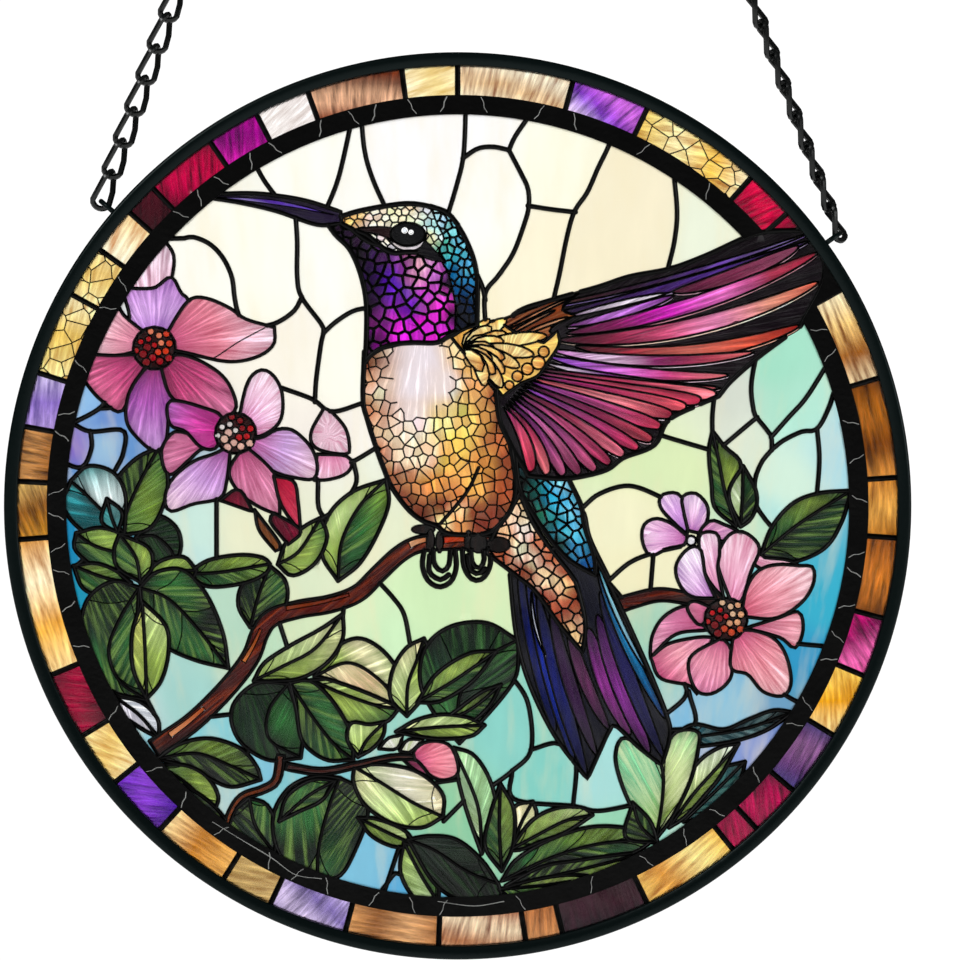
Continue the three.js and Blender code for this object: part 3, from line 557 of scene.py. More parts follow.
for lit, width, colours in (
    ([(-63.5, -50.6), (-59.5, -47.6), (-56, -44.6)], 1.3, ["e6a070", "c8643a"]),
    ([(-47.2, -34.4), (-45, -30.6), (-43.4, -27.2)], 1.0, ["d8804a", "9a3a24"]),
    ([(-37.8, -22.6), (-30, -21.2), (-24, -19.6)], 1.0, ["b0502c", "8a3020"]),
    ([(-10.6, -8.6), (-8.6, -7.8), (-6.6, -7.4)], 1.5, ["f0b890", "e08a5a"]),
    ([(-3, -7.6), (-0.6, -7.4), (1.6, -7.4)], 1.5, ["c8341c", "e0603a"]),
):
    piece("branch_glass", strip(lit, width, width * 0.7), colours, FAR_ROOT, ("5b1712", 0.3), VEIN)
print("pieces with the branch:", len(pieces))

# %% [markdown]
# ## Blossoms
#
# Each petal is one piece of glass, cut to a bend through its few turning points, with a corner where it
# meets the middle. Its colours run from the middle of the flower outwards and its streaks fan out from
# there, like brush strokes fired onto the glass. The stamens are small round jewels packed in a sunflower
# spiral.

# %% Petals and stamens
GOLDEN_TURN = 137.5


def petals(middle, group):
    """Petals of one flower: each is its colours, its outline and its streak colour."""
    for colours, outline, streak in group:
        piece("petal_glass", bend(outline, True), colours, middle, (streak, 0.7), 0.42)


def stamens(middle, reach, count, size, colours):
    """Round jewels on a sunflower spiral: each is GOLDEN_TURN degrees on from the last, and its distance
    grows as the square root of its number."""
    disc = clock(np.arange(0, 360, 24), reach) + middle
    piece("petal_glass", disc, ["2a0608", "4a0c12"], middle, line=0.34)
    for k in range(count):
        place = clock(GOLDEN_TURN * k, reach * 0.9 * math.sqrt((k + 0.4) / count)) + middle
        around = clock(np.arange(0, 360, 45), size * (0.8 + 0.35 * ((k * 7) % 5) / 5)) + place
        piece("petal_glass", around, colours[k % len(colours)], tuple(place), ("ffffff", 0.0), 0.18)


# %% Blossoms, petal by petal
WINE, ROSE, PINK, BLUSH, LILAC, VIOLET = "7d1f4a", "c2507f", "e08ab0", "f6dbe6", "c9a0d8", "8e4fb0"
petals((-66.9, 34.8), [
    ([ROSE, "f3c8d6", "fbeaf0"], [(-66.5, 37), (-73.6, 48.4), (-72, 53), (-65, 59, 1), (-62.7, 55.5),
     (-62.9, 51), (-64.6, 46)], WINE),
    ([VIOLET, LILAC, "b77fc8"], [(-66.5, 36), (-72.5, 37.2), (-72.4, 42), (-73.5, 47.5), (-70, 47.9),
     (-66.7, 48.2), (-63.2, 50.5), (-61, 47), (-59.3, 45.4), (-60, 43), (-63, 39.6)], "5d2a86"),
    ([ROSE, "e6a0b4", BLUSH], [(-66, 36, 1), (-73.3, 41.7), (-76.6, 45.6), (-83, 36.4), (-82, 34),
     (-74.6, 33.2)], WINE),
    ([WINE, ROSE, "e0789c"], [(-67, 33.6, 1), (-75.4, 33.2), (-82, 33.2), (-83.8, 30.8), (-81.6, 26.6),
     (-78.3, 23), (-74.2, 20.8), (-71.4, 26.6)], "4f0f2c"),
    ([WINE, "a45aa8", LILAC], [(-66.6, 32), (-70.8, 28), (-72.9, 23.5), (-73, 18.5), (-70.4, 14.7),
     (-66.7, 12), (-64.4, 14.3), (-63.8, 19.3), (-63.2, 24.7), (-64.6, 29)], "6a2a80"),
    ([WINE, ROSE, PINK], [(-66, 32.8, 1), (-63.4, 24.4), (-58.3, 21.2), (-54.6, 21), (-52.9, 19.3),
     (-49, 21.2), (-50, 26), (-53.3, 29.9), (-60, 33.2)], "5c1436"),
    ([ROSE, "eb8f9e", BLUSH], [(-64.6, 35.4), (-63, 40), (-59.2, 45.4), (-55.4, 45.8), (-50.4, 43.7),
     (-46.7, 41.2), (-40.4, 39.4, 1), (-40.6, 35.6), (-44.2, 32.9), (-50.4, 31.8), (-58.7, 33.5)],
     "a03450"),
])
stroke(bend([(-55, 32.4), (-53.3, 32.9), (-48.3, 36.2), (-42.5, 39.3)]), VEIN, len(pieces) - 1)
stamens((-66.9, 34.8), 4.7, 17, 0.95, ["c8141c", "e04a34", "8e0c18", "f08a6a", "b01020"])

petals((-28, 16), [
    (["f0c6d6", BLUSH], [(-29.5, 21.6, 1), (-27.7, 20.6), (-24.8, 17.2), (-23.9, 13.5), (-24.6, 11.4),
     (-31, 12.6), (-32.4, 16)], ROSE),
    ([PINK, "f3cddc"], [(-31, 11.4, 1), (-24.6, 11), (-23.4, 8.6), (-26, 6.4), (-31.4, 6)], ROSE),
])
petals((-49, 16), [
    (["b04a8c", "f0c4da", "fbe6ee"], [(-48.6, 17.6, 1), (-46.5, 26.8), (-43.7, 29.9), (-40.8, 28.9),
     (-38.7, 24.7), (-39.3, 18.5), (-44.4, 15.2)], ROSE),
    (["c05a9c", LILAC, "f3c6da"], [(-45.8, 14.4), (-42.9, 15.2), (-39.6, 16.9), (-36.2, 16.6),
     (-32.5, 13.1), (-31, 9.3), (-31.7, 6), (-35.8, 6.2), (-40.6, 7.6), (-45.6, 11.6)], "8a2a66"),
    (["a83a70", PINK, "eaa0bc"], [(-47, 13.4, 1), (-42, 9), (-39.6, 5.2), (-39.2, -2.2, 1), (-44.2, 0),
     (-48.5, 3.3), (-50.4, 7.9)], "8a2a50"),
    (["9c3a80", LILAC, BLUSH], [(-50, 13.4, 1), (-53.7, 11.5), (-58.3, 9.8), (-62.9, 6), (-64.6, 1.8),
     (-63.3, -1.2), (-58.3, 0.4), (-52.5, 1.7), (-51, 5.2)], "7a3a8a"),
    (["b04a78", PINK], [(-53, 13.6), (-56.7, 12.4), (-59.2, 10.2), (-63.7, 6.8), (-65.4, 11.8),
     (-63.3, 15.8), (-60.4, 16.2)], "7a1f4a"),
    (["a0206a", "c84a9a", "b066b4"], [(-51.4, 17.6), (-53.3, 12.8), (-56.7, 13), (-60, 16.4), (-63.5, 18),
     (-63.3, 23.2), (-54.6, 21.2), (-52.4, 20)], "6a1450"),
    (["c8203c", "e0506a"], [(-40.6, 6.6, 1), (-36.2, 5.4), (-35.2, 1), (-34.6, -6, 1), (-38.9, 0.2)],
     "8a1030"),
    (["5a0f24", "8a1f3a"], [(-40.4, -1.6, 1), (-34.6, -5.4), (-37.4, -8.6, 1), (-41.4, -3.4)], "2a0812"),
    (["6a142c", "9a2a44"], [(-52.4, 1.2, 1), (-48.3, 3.6), (-45, -1.4, 1)], "2a0812"),
    (["6a3418", "9a5a2c"], [(-44.8, -0.8, 1), (-39.2, -8.4), (-40.2, -10, 1), (-43.8, -5.4)], "2a1208"),
])
stamens((-49, 16), 4.5, 16, 0.95, ["e8e0dc", "c8141c", "f0c0b0", "a00c1c", "e8b8a8"])

petals((51.5, -7.5), [
    (["b070c8", "e0a8e8", "f4d8f0"], [(50.6, -6.4, 1), (47.4, -3.4), (44.8, -0.4), (44.8, 2.2), (48, 2.9),
     (49.8, 1.2), (50.8, -2.4)], VIOLET),
    (["c070b8", "f0c8e6", "f6e0f2"], [(50.8, -5.4, 1), (49.8, -1), (49.6, 2), (52.4, 2.8), (54.9, 0.4),
     (55.2, -2.6), (53.6, -5.8)], VIOLET),
    (["c060a8", "e8b0dc", "f4d4ec"], [(50.6, -6.6, 1), (47, -3.8), (43.6, -2.8), (41, -4.4), (40.8, -8),
     (42.6, -11), (46.4, -9.4), (50, -8.6)], "8a3a90"),
    (["c870b0", "f0c0dc"], [(53, -7, 1), (53.8, -5), (56, -3.2), (59, -4.2), (61.8, -5.4, 1), (60.2, -7.6),
     (56, -7.6)], "8a3a90"),
    (["e8a0c0", "f3c0d0"], [(62, -6.2, 1), (67.8, -11.4, 1), (73, -12), (76, -13.6, 1), (70, -15),
     (64.4, -12)], ROSE),
])
petals((59.2, -25), [
    ([ROSE, PINK, "f3b8cc"], [(55, -27.4, 1), (48, -28.4), (42.4, -33.6, 1), (43, -28.4), (46, -24),
     (51.4, -22.2)], "a03460"),
    ([PINK, "f3a8b8", ROSE], [(56.4, -29, 1), (53, -29), (46.6, -30.4), (42.6, -33.4, 1), (44.7, -38),
     (51, -39.6), (53.2, -41.4), (54.4, -34)], "a03460"),
    ([ROSE, "f0a0b4", PINK], [(58.4, -29, 1), (51.2, -33.6), (52.4, -40.4), (56.2, -41.4), (60.2, -38),
     (60.4, -32)], "a03460"),
    ([ROSE, "f3a0b0", "f6c4cc"], [(60.6, -29.6, 1), (60.3, -35.8), (64, -37.2), (67.4, -41), (71.9, -41.9),
     (73.6, -38.6), (72.2, -32.4), (68.8, -28.6), (63, -27.4)], "b03450"),
    ([ROSE, "f0b0b8"], [(63.4, -27, 1), (70.5, -24.8), (75.2, -23.4), (76.2, -27.4), (74.4, -31.4),
     (71, -29)], "b03450"),
    (["d05070", "f3a8b4", "f8d8dc"], [(62.6, -24.4, 1), (63.6, -18.6), (66, -14.6), (70, -13),
     (75.4, -13.2), (78.4, -13.6), (78.4, -17.4), (75.6, -21.6), (70, -24.8)], "b03450"),
    ([PINK, "f8dce6"], [(60.6, -22, 1), (57.4, -13), (58.4, -8.4), (60.9, -5.8), (64, -6.2), (66.6, -9.4),
     (64.7, -14.5), (62.8, -20.6)], ROSE),
    ([PINK, "f0b4d0", "f8e0ee"], [(58.8, -20.8, 1), (57.4, -14), (57.8, -10.4), (57.3, -6.2), (53.6, -6.2),
     (53.4, -10), (54.9, -15.6)], "b04a90"),
    (["b86ab8", "e8c4e8", "f6e6f6"], [(57, -20.4, 1), (51.6, -20), (48.8, -17), (48.2, -13), (50.9, -9.4),
     (53.6, -9.6), (54.7, -15.4)], "8a4aa0"),
    ([ROSE, "e890b0"], [(56.4, -22.6, 1), (52.2, -21), (50.6, -22.6), (53.6, -26.4)], "8a2a50"),
])
stamens((59.2, -25), 4.7, 17, 0.95, ["c8141c", "e8a880", "8e0c18", "f0c4a0", "d05038"])
piece("petal_glass", clock(np.arange(0, 360, 30), 1.1) + (51.5, -7.7), "f4f0f6", (51.5, -7.7), line=0.3)

petals((-12, -57), [
    ([ROSE, "f08a9a", "f3a8b0"], [(-8.6, -57.4, 1), (-9.8, -54.5), (-7.7, -52.4), (-4.5, -51.9),
     (-1.6, -53), (-0.1, -56.3), (-0.2, -59.5), (-4.3, -60.4)], "a02848"),
    ([WINE, ROSE], [(-12, -56, 1), (-9, -56.2), (-5.6, -60.2, 1), (-9.5, -58.2)], "4f0f2c"),
    (["e8e8dc", "fbfbf4"], [(-17.4, -53.6, 1), (-15.2, -51.2), (-12, -50.6, 1), (-13.5, -53.6)], LIME),
    (["e8ecd8", "f6f8ee"], [(-12.8, -54, 1), (-11, -51.6), (-7.5, -51.6, 1), (-10.6, -54.4)], LIME),
])
print("pieces with the blossoms:", len(pieces))

# %% [markdown]
# ## Scales
#
# The bird's throat, head, body and rump are made of small rounded pieces like scales. Seeds are laid in
# offset rows and shaken a little, and each scale is the ground nearer to its own seed than to any other.
# The lines between those grounds join the centres of the circles through three neighbouring seeds, which
# the Delaunay triangulation gives. Rows may grow from one side of the zone to the other, as feathers do.

# %% Lines between shaken seeds
ALL_TRIANGLES = 0
fine_lines = []


def shaken_rows(low, high, first, last, shake, turn, seed):
    """Seeds in offset rows over a box: the row's (width, height) goes from first to last, upper row first."""
    local = np.random.default_rng(seed)
    middle = (low + high) / 2
    reach = np.hypot(*(high - low)) / 2 + 2
    rows, z, shift = [], reach, 0.0
    while z > -reach:
        share = (reach - z) / (2 * reach)
        width, height = np.array(first) * (1 - share) + np.array(last) * share
        x = np.arange(-reach, reach, width) + shift * width
        moves = local.uniform(-shake, shake, (len(x), 2)) * (width, height)
        rows.append(np.stack([x, np.full(len(x), z)], -1) + moves)
        z, shift = z - height, 0.5 - shift
    seeds = np.vstack(rows)
    angle = math.radians(turn)
    spin = np.array([[math.cos(angle), math.sin(angle)], [-math.sin(angle), math.cos(angle)]])
    return seeds @ spin + middle


def scales(owner, first, last=None, shake=0.22, turn=0, seed=1, line=SCALE_LINE, quiet=None):
    """Adds the lines between scales inside a piece. quiet is an (x, z, reach x, reach z) oval left bare."""
    outline = pieces[owner]["outline"]
    seeds = shaken_rows(outline.min(0), outline.max(0), first, last or first, shake, turn, seed)
    mesh = delaunay_2d_cdt([Vector(s) for s in seeds], [], [], ALL_TRIANGLES, 1e-5, False)
    spots, faces = np.array([tuple(v) for v in mesh[0]]), np.array(mesh[2])
    a, b, c = (spots[faces[:, k]] for k in range(3))
    ab, ac = b - a, c - a
    area = 2 * (ab[:, 0] * ac[:, 1] - ab[:, 1] * ac[:, 0])
    area = np.where(np.abs(area) < 1e-9, 1e-9, area)
    ab2, ac2 = (ab**2).sum(1), (ac**2).sum(1)
    offset = np.stack([ac[:, 1] * ab2 - ab[:, 1] * ac2, ab[:, 0] * ac2 - ac[:, 0] * ab2], -1)
    centre = a + offset / area[:, None]
    ends_a, ends_b = faces.ravel(), np.roll(faces, -1, axis=1).ravel()
    key = np.minimum(ends_a, ends_b) * len(spots) + np.maximum(ends_a, ends_b)
    face = np.repeat(np.arange(len(faces)), 3)
    order = np.argsort(key, kind="stable")
    same = np.flatnonzero(key[order][1:] == key[order][:-1])
    start, stop = centre[face[order[same]]], centre[face[order[same + 1]]]
    length = np.hypot(*(stop - start).T)
    use = (length > 0.02) & (length < 4 * max(first))
    if quiet:
        middle = (start + stop) / 2
        use &= ((middle - quiet[:2]) ** 2 / np.array(quiet[2:]) ** 2).sum(1) > 1
    fine_lines.append((line, start[use], stop[use], owner))


sample = shaken_rows(np.zeros(2), np.full(2, 20.0), (2, 2), (2, 2), 0.2, 0, 1)
print("seeds laid to cover a 20 mm square:", len(sample))

# %% [markdown]
# ## Tail, rump and body
#
# The tail feathers are blades of blue and violet glass on a nearly black ground, so the ground shows
# between them as shadow. The rump, the feathers under the tail and the body are scale fields. Their colours
# are named at a few places and blended between them: brown at the left edge, white on the breast, gold and
# rust at the right.

# %% Tail feathers
FULLNESS = 1.25
piece(
    "tail_glass",
    bend([(11.5, -15.2, 1), (12.7, -27), (14.8, -36.3), (18.6, -45.5), (22.7, -52.6), (28.6, -60.2, 1),
        (31.3, -54.2), (33.4, -49.7), (35, -48.6), (39.7, -53), (45, -57.2, 1), (46.7, -51.3),
        (46.3, -46.7), (41.3, -34.2), (33.4, -17), (27, -6, 1)], True),
    ["04050f", "070818", "050612"], (18, 10), line=0.55,
)
for root, tip, left, right, colours in (
    ((13.4, -15), (21.4, -50), 1.7, 0.8, ["080b2c", "151f66", "0c1238"]),
    ((15.2, -16), (25.6, -56.4), 1.6, 0.9, ["0c1038", "1f2e90", "101848"]),
    ((17.6, -20), (28.4, -59.4), 1.4, 1.1, ["0a0c2a", "1c2270", "16143c"]),
    ((20.6, -23), (30.6, -55), 1.2, 1.2, ["1a0c30", "42204e", "2a1438"]),
    ((24.4, -27), (33.4, -49.4), 1.1, 1.2, ["2a1236", "6a2c5a", "3a1a3c"]),
    ((28.8, -27), (38, -50.6), 1.6, 1.5, ["3c184c", "8a3c8c", "541e50"]),
    ((30.8, -24), (42.4, -54.6), 1.5, 1.5, ["2a1440", "7a3484", "3a1a40"]),
    ((31.4, -19), (45.4, -55.6), 1.3, 1.2, ["0e1638", "2c2866", "16163c"]),
    ((31, -15), (45.8, -47), 0.9, 0.9, ["103060", "2f80b8", "16205c"]),
    # The last two, thin and pale, are painted highlights along the feathers.
    ((16.3, -19), (19.4, -33), 0.28, 0.28, ["cfd4ee", "f0f2fb"]),
    ((30.6, -12), (41.8, -36.6), 0.45, 0.45, ["58b8d8", "a8e4f4", "5a9cd0"]),
):
    _, left_side, right_side = blade_sides(root, tip, left * FULLNESS, right * FULLNESS, -0.8, (0.5, 0.5))
    piece("tail_glass", np.vstack([left_side, right_side[::-1]]), colours, (14, 20), ("04050f", 0.55), 0.24)
print("pieces with the tail:", len(pieces))

# %% Rump, under the tail, and body
rump = piece(
    "tail_glass",
    bend([(12.6, 12, 1), (13.4, 5), (14.4, 2.2), (18.6, -4.8), (24, -11.4), (30.4, -15.4, 1), (30.2, -11.5),
        (28, -4.4), (27.2, 0.2), (24.4, 6.2), (24, 9, 1)], True),
    [], (20, 20), ("04120e", 0.35), 0.6,
    spots=[
        (14.6, 5, "04120e"), (15.4, 1, "0c3426"), (18, -2, "1c6a50"), (17.4, 3, "17544a"),
        (20, 3, "2f8fb0"), (22.5, 1, "4ab4dc"), (25, -1, "7cd0ec"), (23, 5, "8fd8ec"), (21, -4, "1c6a68"),
        (23.5, -5, "4aa8c8"), (25.6, -6, "6cc4e0"), (23, -9, "12443c"), (27, -10, "4a9cc8"),
        (28.6, -12.6, "245a9c"),
    ],
)
scales(rump, (1.6, 2.4), (1.9, 2.9), 0.32, turn=28, seed=4, line=0.27)
under_tail = piece(
    "bird_body_glass",
    bend([(13.7, 2.6, 1), (10.6, -2.5), (8, -6), (6.4, -10.4, 1), (12.7, -15.2), (17.3, -19), (22.3, -26),
        (27.6, -32.4, 1), (28.2, -26), (27, -20), (25.6, -16), (21.5, -10.7), (17, -4.4)], True),
    [], (14, 20), ("5c1c0c", 0.4), 0.55,
    spots=[
        (13.4, 0, "f3cc9c"), (14.6, -5, "fbf0dc"), (14, -9, "f6e8c8"), (10, -10.6, "b8502c"),
        (12, -6, "f0b888"), (15, -14.6, "9c3a20"), (17, -12, "f3dcb8"), (19, -16.4, "ecc8a0"),
        (20, -11, "c0562c"), (22.6, -17, "f0c890"), (24.4, -15, "b04a24"), (25.4, -21, "a84424"),
        (22, -23, "983a22"), (19, -20, "9c3a20"), (26.8, -28, "dcae80"), (17.6, -8, "d87848"),
    ],
)
scales(under_tail, (1.9, 2.2), (2.4, 2.8), 0.32, turn=38, seed=9, line=0.22)

body = piece(
    "bird_body_glass",
    bend([(-20.6, 34, 1), (-20.9, 23.5), (-20, 19.3), (-18.2, 13.5), (-16.4, 8.5), (-14.5, 4.1),
        (-11, -0.7), (-7.7, -3.3), (-4.6, -4.4), (-1.8, -6.2), (6.5, -6), (10.2, -3), (12.3, 0.6),
        (12.8, 6), (11.6, 13.5), (10.4, 20), (9.6, 26), (6, 37, 1), (0.6, 38.4, 1), (-10, 36.4)], True),
    [], (-6, 60), ("7a3418", 0.05), 0.6,
    spots=[
        (-20, 31, "6a3420"), (-18.6, 28, "c8946a"), (-16.6, 27, "f0dcc0"), (-19.8, 20, "b8744a"),
        (-17.8, 18, "deae84"), (-17.2, 12, "c08058"), (-14.6, 7, "a05a36"), (-12, 2, "843c22"),
        (-8, -2, "6c2814"), (-14, 16, "f0d8b8"), (-12, 11, "f0d4b4"), (-10, 27, "ffffff"),
        (-7, 33, "ffffff"), (-3, 27, "fffaf0"), (-10, 19, "fdf6ea"), (-7, 11, "f6dfb4"), (-10, 5, "c07c48"),
        (-5, 5, "dc8c38"), (-2, 10, "f0b84a"), (-3, 19, "f6e090"), (0, 14, "f0c658"), (2, 20, "f0d068"),
        (4, 25, "eeb05c"), (3, 31, "eeb464"), (0, 35, "f6dca0"), (6, 20, "dc9c4c"), (8.4, 14, "b05e2a"),
        (8.6, 24, "9c4c22"), (9.6, 19, "843f1e"), (11, 10, "7c3416"), (10.6, 4, "94401c"),
        (6, 10, "d48c38"), (3, 4, "eeae4e"), (0, 2, "d47c36"), (-3, 0, "84341a"), (3.4, -1.6, "9c4222"),
        (0.4, -0.4, "f0c488"), (-2.4, -4, "f6e0a0"), (8, -2, "7c301a"), (5, -4, "742816"),
        (-0.6, -4.6, "e48c3a"),
    ],
)
scales(body, (2.4, 2.5), (2.0, 2.7), 0.36, turn=8, seed=3, line=0.17, quiet=(-8.5, 28.5, 7.2, 8.5))
stroke(bend([(-4.6, -4.8), (-0.2, 0.2), (2.6, 4), (4.6, 8.4)]), 0.42, body)
print("fields of scales so far:", len(fine_lines))

# %% Feet: toes on the branch, and claws that curl below it
for loop in (
    [(-7.2, -9), (-7.8, -13), (-6.6, -16.4), (-4, -17.9), (-1.4, -16.6), (-0.3, -13.4), (-0.6, -9.6)],
    [(-5.4, -9), (-5.2, -12.6), (-3.6, -14.4), (-2, -13.2), (-1.6, -9.8)],
    [(-6.2, -11), (-6.2, -14.6), (-3.8, -16.3), (-2, -15.2)],
    [(1, -9), (1.4, -13.4), (3.2, -16.2), (5.6, -16), (7.2, -13), (7, -9.4)],
    [(2.8, -9), (3.2, -12.4), (4.6, -13.8), (5.8, -12.2), (5.6, -9.4)],
    [(2.2, -11), (2.8, -14), (4.6, -15), (6, -13.9)],
):
    stroke(bend(loop), 0.62)
for x, z, wide, high in (
    (-7.6, -5.2, 2.6, 1.0),
    (-6, -7.8, 0.9, 2.6),
    (-4, -8, 0.8, 2.4),
    (2.4, -7.8, 0.9, 2.4),
    (4.6, -8.2, 1.9, 2.2),
    (9, -8.6, 2.6, 1.7),
):
    toe = clock(np.arange(0, 360, 24), 1.0) * (wide, high) + (x, z)
    piece("branch_glass", toe, ["070404", "120a08"], (x, z + 20), ("3a2420", 0.4), 0.2)
print("pieces with the feet:", len(pieces))

# %% [markdown]
# ## Throat, head and beak
#
# The throat is a field of larger scales, dark on the left and bright magenta at the lower right. The crown
# and nape have finer ones that turn from cream to teal and then to night blue. The eye is a black jewel
# with two glints and a white crescent below it, and the beak is a long dark triangle with one violet
# highlight.

# %% Throat, crown and nape
throat = piece(
    "bird_head_glass",
    bend([(-20.2, 45), (-20.2, 36), (-20.6, 31.4, 1), (-19, 33.4), (-15.2, 35.4), (-10.2, 36), (-4.7, 36),
        (-1.8, 37.5), (0.6, 38.6, 1), (0, 45), (-1.4, 51), (-4, 56), (-12, 57.4), (-19, 58), (-26, 63.2, 1),
        (-29, 62.6, 1), (-26.8, 59.6), (-23.9, 56.7), (-21.6, 51.7)], True),
    [], (-10, 70), ("06020a", 0.35), 0.6,
    spots=[
        (-20, 45, "07020c"), (-19.6, 36, "0c0214"), (-22, 55, "0c0212"), (-26, 60.4, "180820"),
        (-18.6, 50, "1c0830"), (-17.4, 55, "3c1450"), (-16.6, 40, "702470"), (-17, 36, "5c145c"),
        (-15, 50, "5228a0"), (-13, 47, "6636b0"), (-12, 52, "84348c"), (-10, 44, "7434b4"),
        (-10, 51, "d090b8"), (-7, 54, "f0b8d8"), (-4, 52, "d468d4"), (-6, 46, "dc58d4"), (-3, 43, "e84ce0"),
        (-8, 40, "f046e0"), (-4, 38, "e846d8"), (-13, 38, "e446dc"), (-11, 37, "dc3ccc"),
        (-9, 57, "5c2a2a"), (-2, 50, "16081c"), (-1.2, 42, "1c0828"),
    ],
)
scales(throat, (2.2, 1.9), (3.3, 3.0), 0.36, turn=-8, seed=12, line=0.33)
crown = piece(
    "bird_head_glass",
    bend([(-27, 63.4, 1), (-22, 65), (-15.6, 66.2), (-10.6, 66.7), (-6, 66), (-2.2, 64.2), (0.4, 61),
        (-2, 57), (-4.6, 54.4), (-8, 55.8), (-11, 56), (-15, 56), (-20, 59.8, 1), (-24.4, 61.6)], True),
    [], (-30, 60), ("6a4a34", 0.2), 0.6,
    spots=[
        (-25.4, 63.3, "f0ac6a"), (-22, 63.5, "f3cc90"), (-18, 64, "f6e8cc"), (-14, 65, "f6ecc8"),
        (-10, 65, "f3ecc8"), (-20, 62, "f0d8c8"), (-16, 60, "f6e0d0"), (-17, 58, "f6e6dc"),
        (-12, 57, "f8f0e0"), (-7, 64.5, "d8ecec"), (-5, 62, "a8dce0"), (-3, 62, "98d4e0"),
        (-6, 59, "e8e8b0"), (-4, 57, "70b090"), (-3, 60, "c8e8e8"),
    ],
)
scales(crown, (1.7, 1.4), (1.9, 1.6), 0.34, turn=-5, seed=21, line=0.17)
nape = piece(
    "bird_head_glass",
    bend([(-6, 66.1, 1), (-2.2, 64.6), (0.7, 60.8), (3.2, 55.4), (4.3, 50), (4.3, 42), (4.2, 36.6, 1),
        (1, 36), (-0.6, 39, 1), (-0.6, 45), (-2, 51), (-4.2, 55.5), (-3, 59), (-4.4, 62)], True),
    [], (-4, 90), ("040814", 0.35), 0.2,
    spots=[
        (-4, 64.4, "b8e0e8"), (-1, 62, "8fd4e8"), (1, 58, "78c4d8"), (0, 55, "46b4c8"), (-2, 57, "4aa898"),
        (2, 53, "64b4d8"), (-1, 52, "1a568a"), (2, 49, "3880b4"), (0, 48, "163e70"), (2, 45, "0c2044"),
        (1, 41, "05081a"), (3, 38, "040616"), (-0.4, 44, "040616"),
    ],
)
stroke(bend([(-6, 66.1), (-2.2, 64.6), (0.7, 60.8), (3.2, 55.4), (4.3, 50), (4.3, 42), (4.2, 36.6)]), 0.6)
scales(nape, (1.5, 1.7), (1.7, 2.2), 0.34, turn=10, seed=6, line=0.26)
print("fields of scales with the head:", len(fine_lines))

# %% Eye and beak
piece("bird_head_glass", bend([(-24.6, 60.9, 1), (-18, 61.6), (-13.6, 61), (-14.4, 58.8, 1), (-19, 60.2)],
    True), ["080406", "1c0c0c"], (-30, 60), line=0.15)
piece("bird_head_glass", bend([(-8.4, 60, 1), (-5.8, 57.2), (-2.6, 53.6, 1), (-7, 54.6), (-9.6, 56.6)],
    True), ["060406", "0c0a10"], (-30, 60), line=0.15)
piece(
    "bird_head_glass",
    bend([(-15.6, 58.9, 1), (-13.4, 56.9), (-10.6, 56.2), (-8, 57.2), (-6.8, 60, 1), (-9, 58.2),
        (-12, 57.6)], True), ["fbf6ee", "ffffff"], (-30, 60), ("d8c8b8", 0.3), 0.2,
)
piece("bird_head_glass", clock(np.arange(0, 360, 15), 1.0) * (3.8, 2.5) + (-11, 59.9), ["020203", "050507"],
    (-11, 40), ("101418", 0.3), 0.3)
for x, z, size in ((-11.7, 60.8, 0.62), (-10.3, 60.4, 0.5)):
    glint = clock(np.arange(0, 360, 40), size) + (x, z)
    piece("bird_head_glass", glint, "f4f6f8", (x, z), ("ffffff", 0), NO_LINE)
piece(
    "bird_head_glass",
    bend([(-58.6, 68.5, 1), (-46.7, 69), (-39.4, 68.4), (-32.9, 67.2), (-25.8, 64.9, 1), (-25.6, 62.4, 1),
        (-31, 62), (-40, 65), (-48.3, 66.9)], True),
    ["170c26", "0c0714", "120a1c"], (-20, 62), ("3a2a5c", 0.4), 0.5,
)
piece(
    "bird_head_glass",
    bend([(-54, 68.1, 1), (-46, 67.9), (-38, 67), (-26.4, 64, 1), (-36, 65.8), (-46, 67.2)], True),
    ["7a5cc8", "5a3a9c", "3a2468"], (-20, 62), ("c8b8f0", 0.4), 0.12,
)
print("pieces with the bird:", len(pieces))

# %% [markdown]
# ## Dark band and border tiles
#
# A dark band divides the picture from the border. The border is a ring of tiles cut from many different
# sheets: streaky cream, crackled gold, ruby, violet, amber and brown. The band is one ring with a slit, so
# that its outline is a single line. Each tile is a sector of a ring, and its streaks run along it, across
# it or aslant.

# %% Band
steps = np.arange(0, 361, 2.0)
band_outline = np.vstack([clock(steps, BAND_OUTER), clock(steps[::-1], BAND_INNER)])
band = piece("black_solder", band_outline, "000000", (0, 0), line=NO_LINE,
    edges=[(clock(steps, BAND_INNER), NO_LINE)])
gap_steps = np.linspace(50.9, 60.6, 7)
gap_outline = np.vstack([clock(gap_steps, BAND_OUTER), clock(gap_steps[::-1], GLASS_EDGE + 1)])
piece("black_solder", gap_outline, "000000", (0, 0), line=NO_LINE, edges=[])

